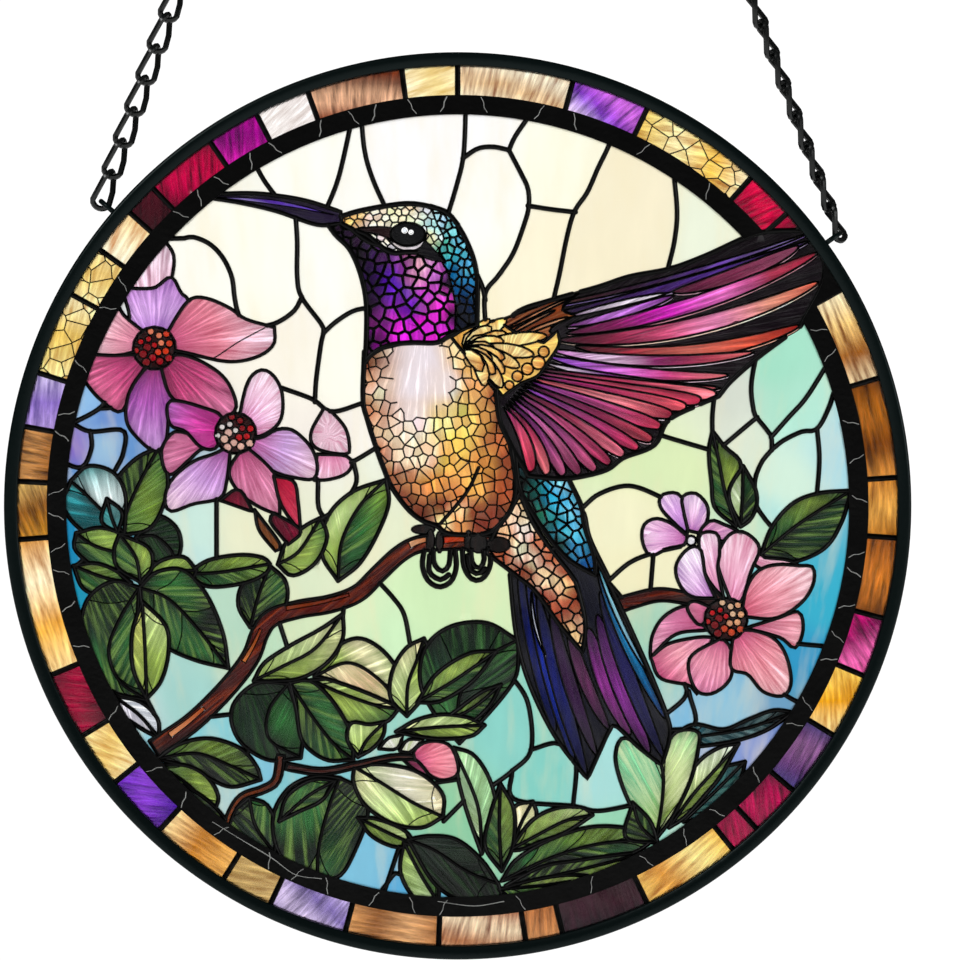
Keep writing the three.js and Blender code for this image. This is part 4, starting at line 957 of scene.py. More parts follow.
BAND_SEAMS = (
    3.8, 11.7, 17, 27.5, 38.5, 64, 68, 78, 83.3, 89, 97, 99.5, 104.5, 109, 112.5, 119.5, 123, 132, 139.8,
    145.5, 152, 160.5, 171, 182, 186.5, 192, 199, 203.5, 208, 216, 223, 229, 239, 249.5, 255.5, 260.5, 264,
    268.5, 272, 280, 283.3, 290.3, 299.5, 303.5, 316.5, 320, 324, 329, 333, 340, 345, 348, 353.5, 358,
)
bright_seams = []
for number, degrees in enumerate(BAND_SEAMS):
    lean = 0.5 * (-1) ** number
    line = [clock(degrees + lean, 87.0), clock(degrees, 88.0), clock(degrees - 0.3 * lean, 89.4),
            clock(degrees - lean, BAND_OUTER - 0.2)]
    bright_seams.append(bend(line))
for arc in ([(-54, -69.7), (-48, -73.4), (-41, -77.6), (-35.8, -81.3), (-30, -82.2)],
            [(-4.3, -87.2), (3.6, -88.2), (10.2, -87.2)]):
    bright_seams.append(bend(arc))
print("bright seams in the band:", len(bright_seams))

# %% Tiles: from, to, kind, colours, streak, and the slant of the streaks from the tile's length
TILES = [
    (0, 15.2, "brown", ["f3e2c4", "dcb488", "f6ecd4", "c89464"], "7a3a1c", 80),
    (15.2, 25.5, "violet", ["f0d8f4", "8a48c8", "e07ae8", "7a38b0"], "2a1050", 62),
    (25.5, 41.8, "gold", ["f0c860", "faeab0", "f3c45c", "f8f0c8"], "a8682c", 20),
    (41.8, 48.4, "ruby", ["7a0c2c", "d81c48", "8a1034"], "30040f", 70),
    (48.4, 50.9, "ruby", ["b81840", "5a0a20"], "30040f", 70),
    (60.6, 73.1, "gold", ["f6e8c0", "e8c07c", "9a5a24", "f0dcb0"], "6a3410", 0),
    (73.1, 86.3, "brown", ["5c2f12", "a8682c", "6a3816", "c88a48"], "2c1408", 0),
    (86.3, 94.2, "brown", ["c8803c", "e0a458", "b06c2c"], "6a3410", 0),
    (94.2, 104.8, "brown", ["8a4a20", "c87838", "5c3018"], "2c1408", 0),
    (104.8, 112.7, "ruby", ["e83a8a", "7a0c4c", "f070b0", "a01458"], "3c0424", 50),
    (112.7, 121.4, "gold", ["f6d070", "e09a34", "f8e6a8"], "b87424", 30),
    (121.4, 130.3, "violet", ["2a2a60", "8a5a8a", "5a3468", "3c3c78"], "140c28", 10),
    (130.3, 137.2, "ruby", ["4a0c28", "b02050", "3c081c"], "1c0410", 50),
    (137.2, 141.3, "ruby", ["8a1440", "c82858"], "30040f", 60),
    (141.3, 154.5, "gold", ["f0b85c", "f8dc94", "e0984c", "f6cc78"], "9a5424", 10),
    (154.5, 166.2, "ruby", ["1c0a10", "30101c", "180a14", "241018"], "3c1828", 80),
    (166.2, 171.1, "brown", ["a8683c", "c08a5c"], "5c3018", 80),
    (171.1, 182.5, "brown", ["a85c34", "f0dcb8", "b06c40", "e8c49c"], "6a2c14", 75),
    (182.5, 194.8, "brown", ["9a6438", "d0a070", "8a5830", "c89460"], "5c3018", 0),
    (194.8, 205.2, "violet", ["b8a8d8", "6a5a98", "d8c8ec", "5a4a88"], "2c2048", 65),
    (205.2, 212.1, "gold", ["d8b478", "b8945c"], "8a6030", 20),
    (212.1, 222.6, "gold", ["f0b868", "c88438", "f6dca0"], "7a4418", 5),
    (222.6, 231.1, "violet", ["3c1c8a", "8a4ad0", "5a2aa8"], "180c40", 40),
    (231.1, 238.5, "gold", ["f8e8b0", "f0cc78", "f6e4a8"], "c88c40", 30),
    (238.5, 247.4, "ruby", ["3c0818", "9a1438", "5a0c24"], "1c040c", 60),
    (247.4, 265.6, "gold", ["f6d898", "e8a848", "f8e8c0", "d89438"], "a05c1c", 4),
    (265.6, 273.2, "brown", ["c88c3c", "8a5420", "e8c078"], "4a2a10", 20),
    (273.2, 280.4, "brown", ["8a5428", "c08a54", "6a3c1c"], "3c2010", 85),
    (280.4, 287.6, "violet", ["b8a0e0", "8a70c0", "d8ccf0"], "4a3880", 10),
    (287.6, 298.7, "gold", ["f6e4a0", "e8c468", "f8ecc0"], "b8843c", 10),
    (298.7, 305.6, "gold", ["f8eab0", "ecc878", "f6e4a4"], "b8843c", 15),
    (305.6, 311.8, "gold", ["f8ecd0", "f0c890"], "c87c3c", 10),
    (311.8, 316.2, "ruby", ["300c14", "481420"], "14040a", 45),
    (316.2, 325.8, "ruby", ["5a0a24", "c81c4c", "3c0818"], "1c040c", 55),
    (325.8, 332.8, "violet", ["d83cb0", "8a1c7a", "b82c98"], "3c0c38", 60),
    (332.8, 340.1, "white", ["f8f4f0", "ece6e4"], "c8b8b0", 20),
    (340.1, 352.7, "brown", ["7a2c14", "e0b090", "4a140a", "a85838"], "2c0c06", 76),
    (352.7, 360, "gold", ["faf2d0", "f0dc9c", "f8ecc0"], "d8b060", 15),
]
TILE_SLOTS = {
    "gold": "gold_tile_glass",
    "white": "gold_tile_glass",
    "brown": "brown_tile_glass",
    "ruby": "ruby_tile_glass",
    "violet": "violet_tile_glass",
}
CRACKLED = (2, 29, 30)
for place, (start, stop, kind, colours, streak, slant) in enumerate(TILES):
    turns = np.linspace(start, stop, max(3, int((stop - start) / 1.2)))
    outline = np.vstack([clock(turns, BAND_OUTER), clock(turns[::-1], GLASS_EDGE + 1)])
    bearing = math.radians((start + stop) / 2 + 90 - slant)
    fan = clock((start + stop) / 2, 93.5) - 60 * np.array([math.sin(bearing), math.cos(bearing)])
    sides = [(np.vstack([clock(edge, BAND_OUTER), clock(edge, GLASS_EDGE)]), 0.62) for edge in (start, stop)]
    sides.append((clock(turns, BAND_OUTER), NO_LINE))
    number = piece(TILE_SLOTS[kind], outline, colours, fan, (streak, 0.9), edges=sides)
    if place in CRACKLED:
        scales(number, (4.2, 3.6), shake=0.42, seed=40 + place, line=0.13)
print("tiles:", len(TILES))

# %% [markdown]
# ## Wing
#
# The wing lies over the body, the band and the border, so it comes last. Long feathers are blades on a
# black ground, most with a thin pale blade along one edge, where light catches it. Short golden feathers
# cover the shoulder. Their roots gather at the shoulder and their tips follow the wing's outline.

# %% Long feathers
piece(
    "wing_glass",
    bend([(8, 36, 1), (12.8, 42.5), (20.7, 45.4), (31, 48.3), (38, 50.6), (46.8, 52.3), (54.7, 55.2),
        (63, 59), (68, 60.5), (76.4, 60.8, 1), (80.2, 55.6), (80.6, 49.4), (75.6, 39.6, 1), (66.6, 33),
        (60.4, 27.6), (57.6, 24.2, 1), (53, 22.2), (46.4, 18.8), (43.4, 13.4), (36.6, 10.6), (33, 8),
        (27, 6.4), (22, 6), (15.6, 6.6, 1), (12.4, 12.2), (9.4, 18.5), (8.6, 24, 1)], True),
    ["08030a", "0a0208", "060206"], (10, 30), ("1c0818", 0.4), 0.6,
)


def feather(root, tip, up, down, colours, bow=0.0, edge=None, streak="2a0614", blunt=(0.55, 0.5)):
    """A blade of the wing. edge is the colour of a thin blade that follows its lower side."""
    spine, upper, lower = blade_sides(root, tip, up, down, bow, blunt)
    if edge:
        fallen = lower + (lower - spine) * 0.05 + np.array([0.1, -0.46])
        piece("wing_glass", np.vstack([spine, fallen[-2:0:-1]]), [edge], (10, 30), ("ffffff", 0.2), 0.12)
    piece("wing_glass", np.vstack([upper, lower[-2:0:-1]]), colours, (10, 30), (streak, 0.7), 0.24)


LONG_FEATHERS = [
    ((16, 43.4), (77, 60), 0.5, 0.7, ["4a2010", "2a1030", "5a3a8c", "8a7ab0"], -1.4, "8a6ab8"),
    ((20, 42), (77.4, 58.4), 0.9, 1.3, ["1c0a20", "3a1c60", "4a2a80", "2a1240"], -1.2, "b09ac8"),
    ((24, 41.6), (46, 46.9), 0.6, 0.7, ["5a2a60", "f0e4f0", "f8f0f8"], 0.2, None),
    ((24, 39.6), (47.6, 46.4), 0.9, 1.0, ["5a1c5c", "c078d8", "8a3aa0"], -0.5, "e8b0ec"),
    ((47.4, 47.2), (75.2, 57.3), 1.0, 2.1, ["5a1838", "803050", "98506c"], -0.6, "e8b8c8"),
    ((24, 38), (79.4, 55.8), 1.9, 1.5, ["4a1030", "8a1c60", "d82cc0", "f078c8", "a83850", "8a1c30"], -2.6,
     "f0a8b8"),
    ((22, 36.6), (79.6, 49.4), 1.7, 2.0, ["30081c", "7a1c3c", "c85078", "f090c0", "f6a48c", "d85c48"], -3.4,
     "f8d8c4"),
    ((26, 35.2), (75.6, 39.9), 1.4, 1.8, ["3c0c1c", "8a2838", "e07468", "e8604c", "b82420"], -3.4,
     "f6b8a0"),
    ((20, 34.6), (65.4, 34), 0.9, 1.5, ["d070d0", "f0d0f0", "8a2c6a", "a83c54", "e07070"], -2.0, "f8e0ec"),
    ((20, 33), (59.8, 28.9), 1.0, 1.5, ["8a4ad0", "c86cd0", "b83c74", "f07c80"], -1.4, "f8d8e8"),
    ((19, 31.6), (58, 26), 0.7, 1.1, ["f0e0f4", "6a2a7a", "a03054", "e86c74"], -1.0, "f6c0c8"),
]
for root, tip, up, down, colours, bow, edge in LONG_FEATHERS:
    feather(root, tip, up, down, colours, bow, edge)
print("long feathers:", len(LONG_FEATHERS))

# %% Shorter feathers, fanned along the lower outline
SHORT_COLOURS = [
    ["4a1a40", "b83a5c", "f07c84"], ["8a2a6a", "d8506c", "b82c48"], ["5a1c60", "a83060", "e05c68"],
    ["c03c50", "f08890", "a82440"], ["6a2a8a", "b04880", "c83a54"], ["3c1040", "8a2858", "d04c5c"],
    ["8a4ac0", "a83c78", "b83450"], ["4a1838", "a03858", "e8788c"], ["7a2c70", "c0507c", "8a2440"],
    ["4a1450", "8a3a70", "b85070"], ["8a3c90", "b85c88", "6a1c3c"], ["3c1448", "7a3068", "a04c6c"],
]
TIP_SPACING = 3.7
LOWER_EDGE = [
    (57, 24.6), (50, 21.6), (45.6, 18.6), (42.6, 14.2), (37, 11.4), (32, 8.4), (27, 7), (21.6, 6.8),
    (16.4, 7.6),
]
tips = along_line(bend(LOWER_EDGE), TIP_SPACING)
shares = np.linspace(0, 1, len(tips))
for k, (tip, share) in enumerate(zip(tips, shares)):
    root = (17.5 - 7.4 * share, 30.4 - 8.6 * share)
    width = 1.75 - 0.3 * share
    feather(root, tuple(tip), width * 0.9, width, SHORT_COLOURS[k % len(SHORT_COLOURS)], -0.8 + 2.2 * share,
            "f3c8d4" if k % 2 else None, blunt=(0.8, 0.3))
print("shorter feathers:", len(tips))

# %% Shoulder
piece(
    "wing_glass",
    bend([(2, 38.4, 1), (12.8, 42.2), (20.7, 45.2), (27.4, 47.4, 1), (23, 43.6), (26, 42, 1), (20.4, 39),
        (22.8, 36.2, 1), (16, 34.4), (10, 35), (5, 36)], True),
    ["2c0e06", "5c2410", "7a3a1c"], (-4, 32), ("d88a54", 0.55), 0.35,
)
# Three thin blades that turn from brown to peach: painted highlights on the brown feathers.
for root, tip, width in (
    ((9, 38), (26, 46.4), 0.35),
    ((10, 37), (21.6, 43.2), 0.4),
    ((14, 37.6), (24.6, 41.6), 0.45),
):
    feather(root, tip, width, width, ["a05024", "f0b88c"], 0.2)
piece(
    "wing_glass",
    bend([(-1.4, 37.2, 1), (2, 39.2), (8.6, 41, 1), (14, 37.6), (19, 36, 1), (22, 38.6, 1), (22.4, 35.6),
        (19.4, 31, 1), (17.6, 28.6), (14, 27), (10, 24.2, 1), (6.4, 28), (2, 33)], True),
    ["e8a850", "f6cc70"], (1, 34), ("5c2008", 0.4), 0.4,
)
GOLDEN_RINGS = ((0, 9.5, ["f3b060", "fde9a0", "f0a848"]), (1, 5.8, ["dc8c40", "fad080", "fdeeb0"]))
for k, turn in enumerate(np.linspace(62, -68, 9)):
    for ring, reach, colours in GOLDEN_RINGS:
        far = (reach + 2.2 * (k % 2)) * (1.5 if -10 < turn < 25 and ring == 0 else 1.0)
        angle = math.radians(turn + 7 * ring)
        tip = (2.6 + far * math.cos(angle), 34 + far * math.sin(angle) * 0.86)
        feather((1.5 + 1.6 * (1 - ring), 34.4), tip, 1.5, 1.5, colours, 0.5, None, "8a3c10")
for x, z, size in ((17.8, 31.6, 1.5), (15.4, 30.2, 1.3), (19, 34, 1.2), (13.2, 28.6, 1.2), (11.4, 26.6, 1.0)):
    piece("wing_glass", clock(np.arange(0, 360, 30), size) + (x, z), ["f6c070", "e09040"], (1, 34),
          ("8a3c10", 0.4), 0.22)
print("pieces in all:", len(pieces))

# %% [markdown]
# ## From drawing to separate cells
#
# Pieces overlap in the list, but cut glass doesn't. So each line is first trimmed to the parts that nothing
# covers. Then one triangulation that keeps all these lines as edges divides the whole disc, and triangles
# that touch without a line between them belong to the same cell. A cell takes the colours of the nearest
# piece that covers it. This is the same as cutting every piece of glass to the drawing.


# %% Points inside an outline
def inside(points, outline):
    """True for points inside the outline: a ray to the right crosses its edges an odd number of times."""
    result = np.zeros(len(points), bool)
    low, high = outline.min(0), outline.max(0)
    near = np.flatnonzero(((points >= low) & (points <= high)).all(1))
    if len(near) == 0:
        return result
    x, z = points[near, 0][:, None], points[near, 1][:, None]
    ax, az = outline[:, 0], outline[:, 1]
    bx, bz = np.roll(ax, -1), np.roll(az, -1)
    spans = (az > z) != (bz > z)
    rise = np.where(bz == az, 1e-12, bz - az)
    result[near] = (spans & (x < ax + (z - az) * (bx - ax) / rise)).sum(1) % 2 == 1
    return result


# %% What covers a point, and where a line goes under
lows = np.array([part["outline"].min(0) for part in pieces])
highs = np.array([part["outline"].max(0) for part in pieces])


def top_piece(points, above=-1):
    """The number of the nearest piece over each point, among those after the piece "above"; -1 for none.
    Only pieces whose box meets the points' box are tried."""
    top = np.full(len(points), -1)
    near = ((lows <= points.max(0)) & (highs >= points.min(0))).all(1)
    for number in np.flatnonzero(near):
        if number > above:
            top[inside(points, pieces[number]["outline"])] = number
    return top


def shown(points, level, owner):
    """True where a line of this level isn't covered, and is inside its owner when it has one."""
    seen = top_piece(points, level) < 0
    return seen if owner is None else seen & inside(points, pieces[owner]["outline"])


OVERSHOOT = 0.05
HALVINGS = 9


def crossing(a, b, level, owner):
    """The place between a shown point a and a hidden point b where the line goes under, by halving."""
    for _ in range(HALVINGS):
        middle = (a + b) / 2
        if shown(middle[None], level, owner)[0]:
            a = middle
        else:
            b = middle
    return a + (b - a) / max(np.hypot(*(b - a)), 1e-9) * OVERSHOOT


def visible_runs(points, level, owner=None):
    """The stretches of a line that show, each trimmed to where it goes under a nearer piece."""
    points = along_line(points, STEP) if len(points) < 3 else points
    seen = shown(points, level, owner)
    runs = []
    edges = np.flatnonzero(np.diff(np.r_[False, seen, False].astype(int)))
    for start, stop in zip(edges[::2], edges[1::2]):
        run = points[start:stop]
        if start > 0:
            run = np.vstack([crossing(points[start], points[start - 1], level, owner), run])
        if stop < len(points):
            run = np.vstack([run, crossing(points[stop - 1], points[stop], level, owner)])
        if len(run) > 1:
            runs.append(run)
    return runs


# %% Which parts of each line show
rim_circle = clock(np.linspace(0, 360, 361), GLASS_EDGE)
lines = [(NO_LINE, rim_circle)]
for number, part in enumerate(pieces):
    for edge, half in part["edges"]:
        lines += [(half, run) for run in visible_runs(edge, number)]
for mark in strokes:
    lines += [(mark["line"], run) for run in visible_runs(mark["points"], mark["level"], mark["owner"])]
print("pieces:", len(pieces), "strokes:", len(strokes), "visible runs:", len(lines))

# %% Scale lines, trimmed all at once
PLACES = 7
SCALE_HALVINGS = 6


def visible_pieces(start, stop, level, owner):
    """The shown part of many short straight lines: a few places on each are tested, then the ends are
    refined by halving."""
    t = np.linspace(0, 1, PLACES)
    places = start[:, None] + (stop - start)[:, None] * t[None, :, None]
    seen = shown(places.reshape(-1, 2), level, owner).reshape(len(start), PLACES)
    some = seen.any(1)
    start, stop, seen = start[some], stop[some], seen[some]
    first = seen.argmax(1)
    last = PLACES - 1 - seen[:, ::-1].argmax(1)
    low_in, low_out = t[first], t[np.maximum(first - 1, 0)]
    high_in, high_out = t[last], t[np.minimum(last + 1, PLACES - 1)]
    for _ in range(SCALE_HALVINGS):
        for inner, outer in ((low_in, low_out), (high_in, high_out)):
            middle = (inner + outer) / 2
            good = shown(start + (stop - start) * middle[:, None], level, owner)
            inner[good] = middle[good]
            outer[~good] = middle[~good]
    return start + (stop - start) * low_out[:, None], start + (stop - start) * high_out[:, None]


fine_beads = []
for half, start, stop, owner in fine_lines:
    a, b = visible_pieces(start, stop, owner, owner)
    fine_beads += [(np.stack(pair), half) for pair in zip(a, b)]
lines += [(NO_LINE, run) for run, _ in fine_beads]
print("scale lines:", len(fine_beads))

# %% Triangles that keep the lines
GRID_STEP = 2.2
RIM_CLEARANCE = 0.6
MERGE_WITHIN = 1e-4

ends = np.cumsum([len(run) for _, run in lines])
corner_points = np.round(np.vstack([run for _, run in lines]), 4)
corner_links = np.setdiff1d(np.arange(len(corner_points)), ends - 1)
ticks = np.arange(-GLASS_EDGE, GLASS_EDGE, GRID_STEP)
grid_x, grid_z = np.meshgrid(ticks, ticks)
grid_x[1::2] += GRID_STEP / 2
grid = np.stack([grid_x.ravel(), grid_z.ravel()], -1)
grid = grid[np.hypot(*grid.T) < GLASS_EDGE - RIM_CLEARANCE]
all_points = np.vstack([corner_points, grid])
links = [(int(i), int(i) + 1) for i in corner_links]
found = delaunay_2d_cdt([Vector(p) for p in all_points], links, [], ALL_TRIANGLES, MERGE_WITHIN, True)
plane = np.array([tuple(v) for v in found[0]])
triangles = np.array(found[2])
from_lines = np.array([len(source) > 0 for source in found[4]])
kept_edges = np.array(found[1])[from_lines]
print("points:", len(plane), "triangles:", len(triangles))


# %% Cells: triangles with no line between them
def edge_keys(a, b):
    """One number for each pair of points, the same for both directions."""
    return np.minimum(a, b).astype(np.int64) * len(plane) + np.maximum(a, b)


def label_cells(triangles, walls):
    """One number for all the triangles that are joined across edges that aren't walls, found by passing on
    the lowest number."""
    a, b = triangles, np.roll(triangles, -1, axis=1)
    keys = edge_keys(a, b).ravel()
    owner = np.repeat(np.arange(len(triangles)), 3)
    order = np.argsort(keys, kind="stable")
    keys, owner = keys[order], owner[order]
    pair = np.flatnonzero((keys[1:] == keys[:-1]) & ~np.isin(keys[1:], walls))
    left, right = owner[pair], owner[pair + 1]
    label = np.arange(len(triangles))
    while True:
        low = np.minimum(label[left], label[right])
        fresh = label.copy()
        np.minimum.at(fresh, left, low)
        np.minimum.at(fresh, right, low)
        fresh = fresh[fresh]
        if (fresh == label).all():
            return label
        label = fresh


walls = np.unique(edge_keys(kept_edges[:, 0], kept_edges[:, 1]))
raw_label = label_cells(triangles, walls)
corners = plane[triangles]
sides_a, sides_b = corners[:, 1] - corners[:, 0], corners[:, 2] - corners[:, 0]
signed = (sides_a[:, 0] * sides_b[:, 1] - sides_a[:, 1] * sides_b[:, 0]) / 2
triangles[signed < 0] = triangles[signed < 0][:, ::-1]
areas = np.abs(signed)
_, cell = np.unique(raw_label, return_inverse=True)
cell_area = np.bincount(cell, areas)
order = np.argsort(areas, kind="stable")
biggest_triangle = np.zeros(len(cell_area), int)
biggest_triangle[cell[order]] = order
cell_spot = corners[biggest_triangle].mean(1)
cell_piece = top_piece(cell_spot)
print("cells:", len(cell_area), "smallest:", round(float(cell_area.min()), 4), "mm2")

# %% [markdown]
# ## Colours of the glass
#
# Art glass is never one flat colour. Each piece has colours that run from its root to its tip, and streaks
# that fan out the same way. Both are stored on the points of the mesh: the colour, the streak's colour, and
# where the point lies along and across the streaks. The material then draws fine streaks from those, so the
# pattern belongs to the piece wherever it goes. Leaves, petals, the branch, the wing and the tail also have
# painted shade in their stored colour: it darkens towards each piece's outline.


# %% Colour of each point from its piece
def blend_spots(points, spots, sharpness=4):
    """Colours weighted by one over the distance to each spot, to the power of sharpness."""
    places = np.array([s[:2] for s in spots], float)
    colours = np.array([linear(s[2]) for s in spots])
    gap = np.hypot(*(points[:, None] - places[None]).transpose(2, 0, 1)) + 0.3
    weight = gap ** -float(sharpness)
    return (weight / weight.sum(1, keepdims=True)) @ colours


def ramp(t, colours):
    """Colours evenly spaced from t = 0 to t = 1, mixed in straight lines between neighbours."""
    stops = np.linspace(0, 1, len(colours))
    return np.stack([np.interp(t, stops, [c[k] for c in colours]) for k in range(3)], -1)


triangle_tone = blend_spots(corners.mean(1), SKY_SPOTS)
pane_tone = np.stack([np.bincount(cell, areas * triangle_tone[:, k]) for k in range(3)], -1)
pane_tone /= cell_area[:, None]
# Painted shade: how much darker the pieces of each finish grow towards their outlines.
PAINTED_EDGE_SHADES = {
    "leaf_glass": 0.9, "petal_glass": 0.6, "branch_glass": 0.8, "wing_glass": 0.3, "tail_glass": 0.55,
}
PAINTED_SHADE_REACH = 2.4
PANE_SHARE = 0.65


def painted_edge_shade(points, part):
    """Painted shade, darker towards the outline: one minus a share that falls from full to 0 over
    PAINTED_SHADE_REACH.
    """
    closed = np.vstack([part["outline"], part["outline"][:1]])
    close = along_line(closed, 0.6)
    gap = np.hypot(*(points[:, None] - close[None]).transpose(2, 0, 1)).min(1)
    fall = np.clip(1 - gap / PAINTED_SHADE_REACH, 0, 1) ** 1.5
    bright = part["colours"][0].mean() if part["colours"] else 0.0
    return 1 - PAINTED_EDGE_SHADES[part["slot"]] * (1 - 0.5 * min(1.0, 3 * bright)) * fall


def paint(points, number, cells):
    """Colour, streak colour with its strength, and (along, across) of points in one piece. A pane of the
    background takes most of its colour from the mean over its whole cell."""
    part = pieces[number] if number >= 0 else SKY
    offset = points - part["fan"]
    along = np.hypot(*offset.T)
    reach = np.hypot(*(part["outline"] - part["fan"]).T)
    t = (along - reach.min()) / max(np.ptp(reach), 1e-6)
    across = np.arctan2(offset[:, 1], offset[:, 0]) * reach.mean()
    if part["spots"]:
        colour = blend_spots(points, part["spots"])
        if number < 0:
            colour = (1 - PANE_SHARE) * colour + PANE_SHARE * pane_tone[cells]
    else:
        colour = ramp(t, part["colours"])
    # Painted shade: the colour darkens towards the outline of each piece of these finishes.
    if part["slot"] in PAINTED_EDGE_SHADES:
        colour = colour * painted_edge_shade(points, part)[:, None]
    streak = np.tile(np.r_[part["streak"], part["amount"]], (len(points), 1))
    return colour, streak, np.stack([along, across], -1)


print("finishes that darken at their edges:", ", ".join(PAINTED_EDGE_SHADES))

# %% [markdown]
# ## Cutting the glass
#
# Every cell becomes a closed slab: a front, a back and walls. It is kept back a little from the middle of
# the line round it, as glass is in its lead, and both faces carry the faint waves of hand-rolled glass.

# %% Meshes from arrays of points
CREASE = math.radians(50)


def to_world(plane_points, depth):
    """Drawing millimetres and a depth (towards the back) as metres on the part."""
    x, z = plane_points[:, 0], plane_points[:, 1] + DISC_CENTRE_Z
    return np.stack([x, depth, z], -1) * MM


def mesh_object(name, points, faces, finish, attributes=None):
    """A smooth-shaded mesh from arrays of points (metres) and triangles, riding on the part's one body."""
    mesh = bpy.data.meshes.new(name)
    mesh.vertices.add(len(points))
    mesh.vertices.foreach_set("co", points.astype(np.float32).ravel())
    mesh.loops.add(faces.size)
    mesh.loops.foreach_set("vertex_index", faces.astype(np.int32).ravel())
    mesh.polygons.add(len(faces))
    mesh.polygons.foreach_set("loop_start", (np.arange(len(faces)) * 3).astype(np.int32))
    mesh.update(calc_edges=True)
    for label, (kind, values) in (attributes or {}).items():
        layer = mesh.attributes.new(label, kind, "POINT")
        field = "color" if kind == "FLOAT_COLOR" else "vector"
        layer.data.foreach_set(field, values.astype(np.float32).ravel())
    mesh.set_sharp_from_angle(angle=CREASE)
    mesh.materials.append(finish)
    made = bpy.data.objects.new(name, mesh)
    bpy.context.scene.collection.objects.link(made)
    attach(made, "root")
    return made


# %% Slabs of glass
GLASS_INSET = 0.12
WAVE_HEIGHT = 0.03
SHARPEST = 0.45


def quads(a, b, c, d):
    """Two triangles for each four-sided face a, b, c, d."""
    return np.vstack([np.stack([a, b, c], -1).reshape(-1, 3), np.stack([a, c, d], -1).reshape(-1, 3)])


def waves(points, phase):
    """Faint hand-rolled relief: three crossing waves, a few hundredths of a millimetre high."""
    x, z = points[:, 0], points[:, 1]
    return WAVE_HEIGHT * (
        np.sin(0.42 * x + 0.13 * z + phase)
        + np.sin(0.11 * x - 0.37 * z + 2 * phase)
        + np.sin(0.71 * x + 0.55 * z + 3 * phase)
    )


def cut(chosen, inset, half_depth):
    """Closed slabs for the chosen cells. Returns plane points, depths, faces, and each point's cell."""
    use = np.isin(cell, chosen)
    tri, tri_cell = triangles[use], cell[use]
    pair_keys = tri_cell[:, None].astype(np.int64) * len(plane) + tri
    keys, index = np.unique(pair_keys, return_inverse=True)
    tri = index.reshape(-1, 3)
    flat = plane[keys % len(plane)].copy()
    point_cell = keys // len(plane)
    a, b = tri.ravel(), np.roll(tri, -1, axis=1).ravel()
    lone = ~np.isin(b.astype(np.int64) * len(keys) + a, a.astype(np.int64) * len(keys) + b)
    a, b = a[lone], b[lone]
    inward = left_of(unit(flat[b] - flat[a]))
    push = np.zeros_like(flat)
    np.add.at(push, a, inward)
    np.add.at(push, b, inward)
    count = np.bincount(np.r_[a, b], minlength=len(flat))
    size = np.hypot(*push.T)
    share = np.maximum(size / np.maximum(count, 1), SHARPEST)
    moved = flat + push / np.maximum(size, 1e-9)[:, None] * (inset * (count > 0) / share)[:, None]
    behind = len(flat)
    front, back = tri, tri[:, ::-1] + behind
    wall = quads(b, a, a + behind, b + behind)
    depth = np.r_[-half_depth - waves(flat, 0.4), half_depth + waves(flat, 1.9)]
    return np.vstack([moved, moved]), depth, np.vstack([front, back, wall]), np.r_[point_cell, point_cell]


# %% Painted slabs as one object
def glass_object(name, chosen, finish, nodes):
    """One object of coloured glass for the chosen cells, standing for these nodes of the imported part."""
    flat, depth, faces, point_cell = cut(chosen, GLASS_INSET, GLASS_HALF)
    colour = np.zeros((len(flat), 3))
    streak = np.zeros((len(flat), 4))
    flow = np.zeros((len(flat), 3))
    for number in np.unique(cell_piece[chosen]):
        mine = cell_piece[point_cell] == number
        colour[mine], streak[mine], flow[mine, :2] = paint(flat[mine], number, point_cell[mine])
    shade = cell_shade[point_cell]
    colour = np.clip(colour * shade[:, :3], 0, 1)
    flow[:, 2] = 40 * shade[:, 3]
    tint = np.concatenate([colour, np.ones((len(flat), 1))], 1)
    made = mesh_object(
        name,
        to_world(flat, depth),
        faces,
        finish,
        {
            "tint": ("FLOAT_COLOR", tint),
            "streak": ("FLOAT_COLOR", streak),
            "flow": ("FLOAT_VECTOR", flow),
        },
    )
    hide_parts(*nodes)
    print(name, "cells:", len(chosen), "triangles:", len(faces))
    return made


# %% [markdown]
# ## Finishes
#
# Coloured glass is a Principled surface with full transmission. Its colour comes from the stored tint, with
# streaks drawn by noise that is stretched along the piece. The roughness is that of rolled glass, which
# blurs what is behind it. The black lines are solder under a black patina: a dark metal with soft gloss.

# %% Nodes of a material
RELIEF_HEIGHT = 0.0004


def shader(name):
    """A material with its Principled node, and the means to add and join nodes."""
    material = bpy.data.materials.new(name)
    material.use_nodes = True
    nodes, links = material.node_tree.nodes, material.node_tree.links
    return material, nodes, links, nodes["Principled BSDF"]


def set_values(node, values):
    """Sets the named sockets of a node."""
    for socket, value in values.items():
        node.inputs[socket].default_value = value


def add_node(nodes, kind, values):
    """A new node of one kind, with its named sockets set."""
    node = nodes.new("ShaderNode" + kind)
    set_values(node, values)
    return node


def stored(nodes, name):
    """A node that reads a value stored on the mesh's points."""
    node = add_node(nodes, "Attribute", {})
    node.attribute_name = name
    return node


def relief_from(noise, strength, nodes, links, surface):
    """Joins noise to the surface as a fine relief."""
    bump = add_node(nodes, "Bump", {"Strength": strength, "Distance": RELIEF_HEIGHT})
    links.new(noise.outputs["Fac"], bump.inputs["Height"])
    links.new(bump.outputs["Normal"], surface.inputs["Normal"])


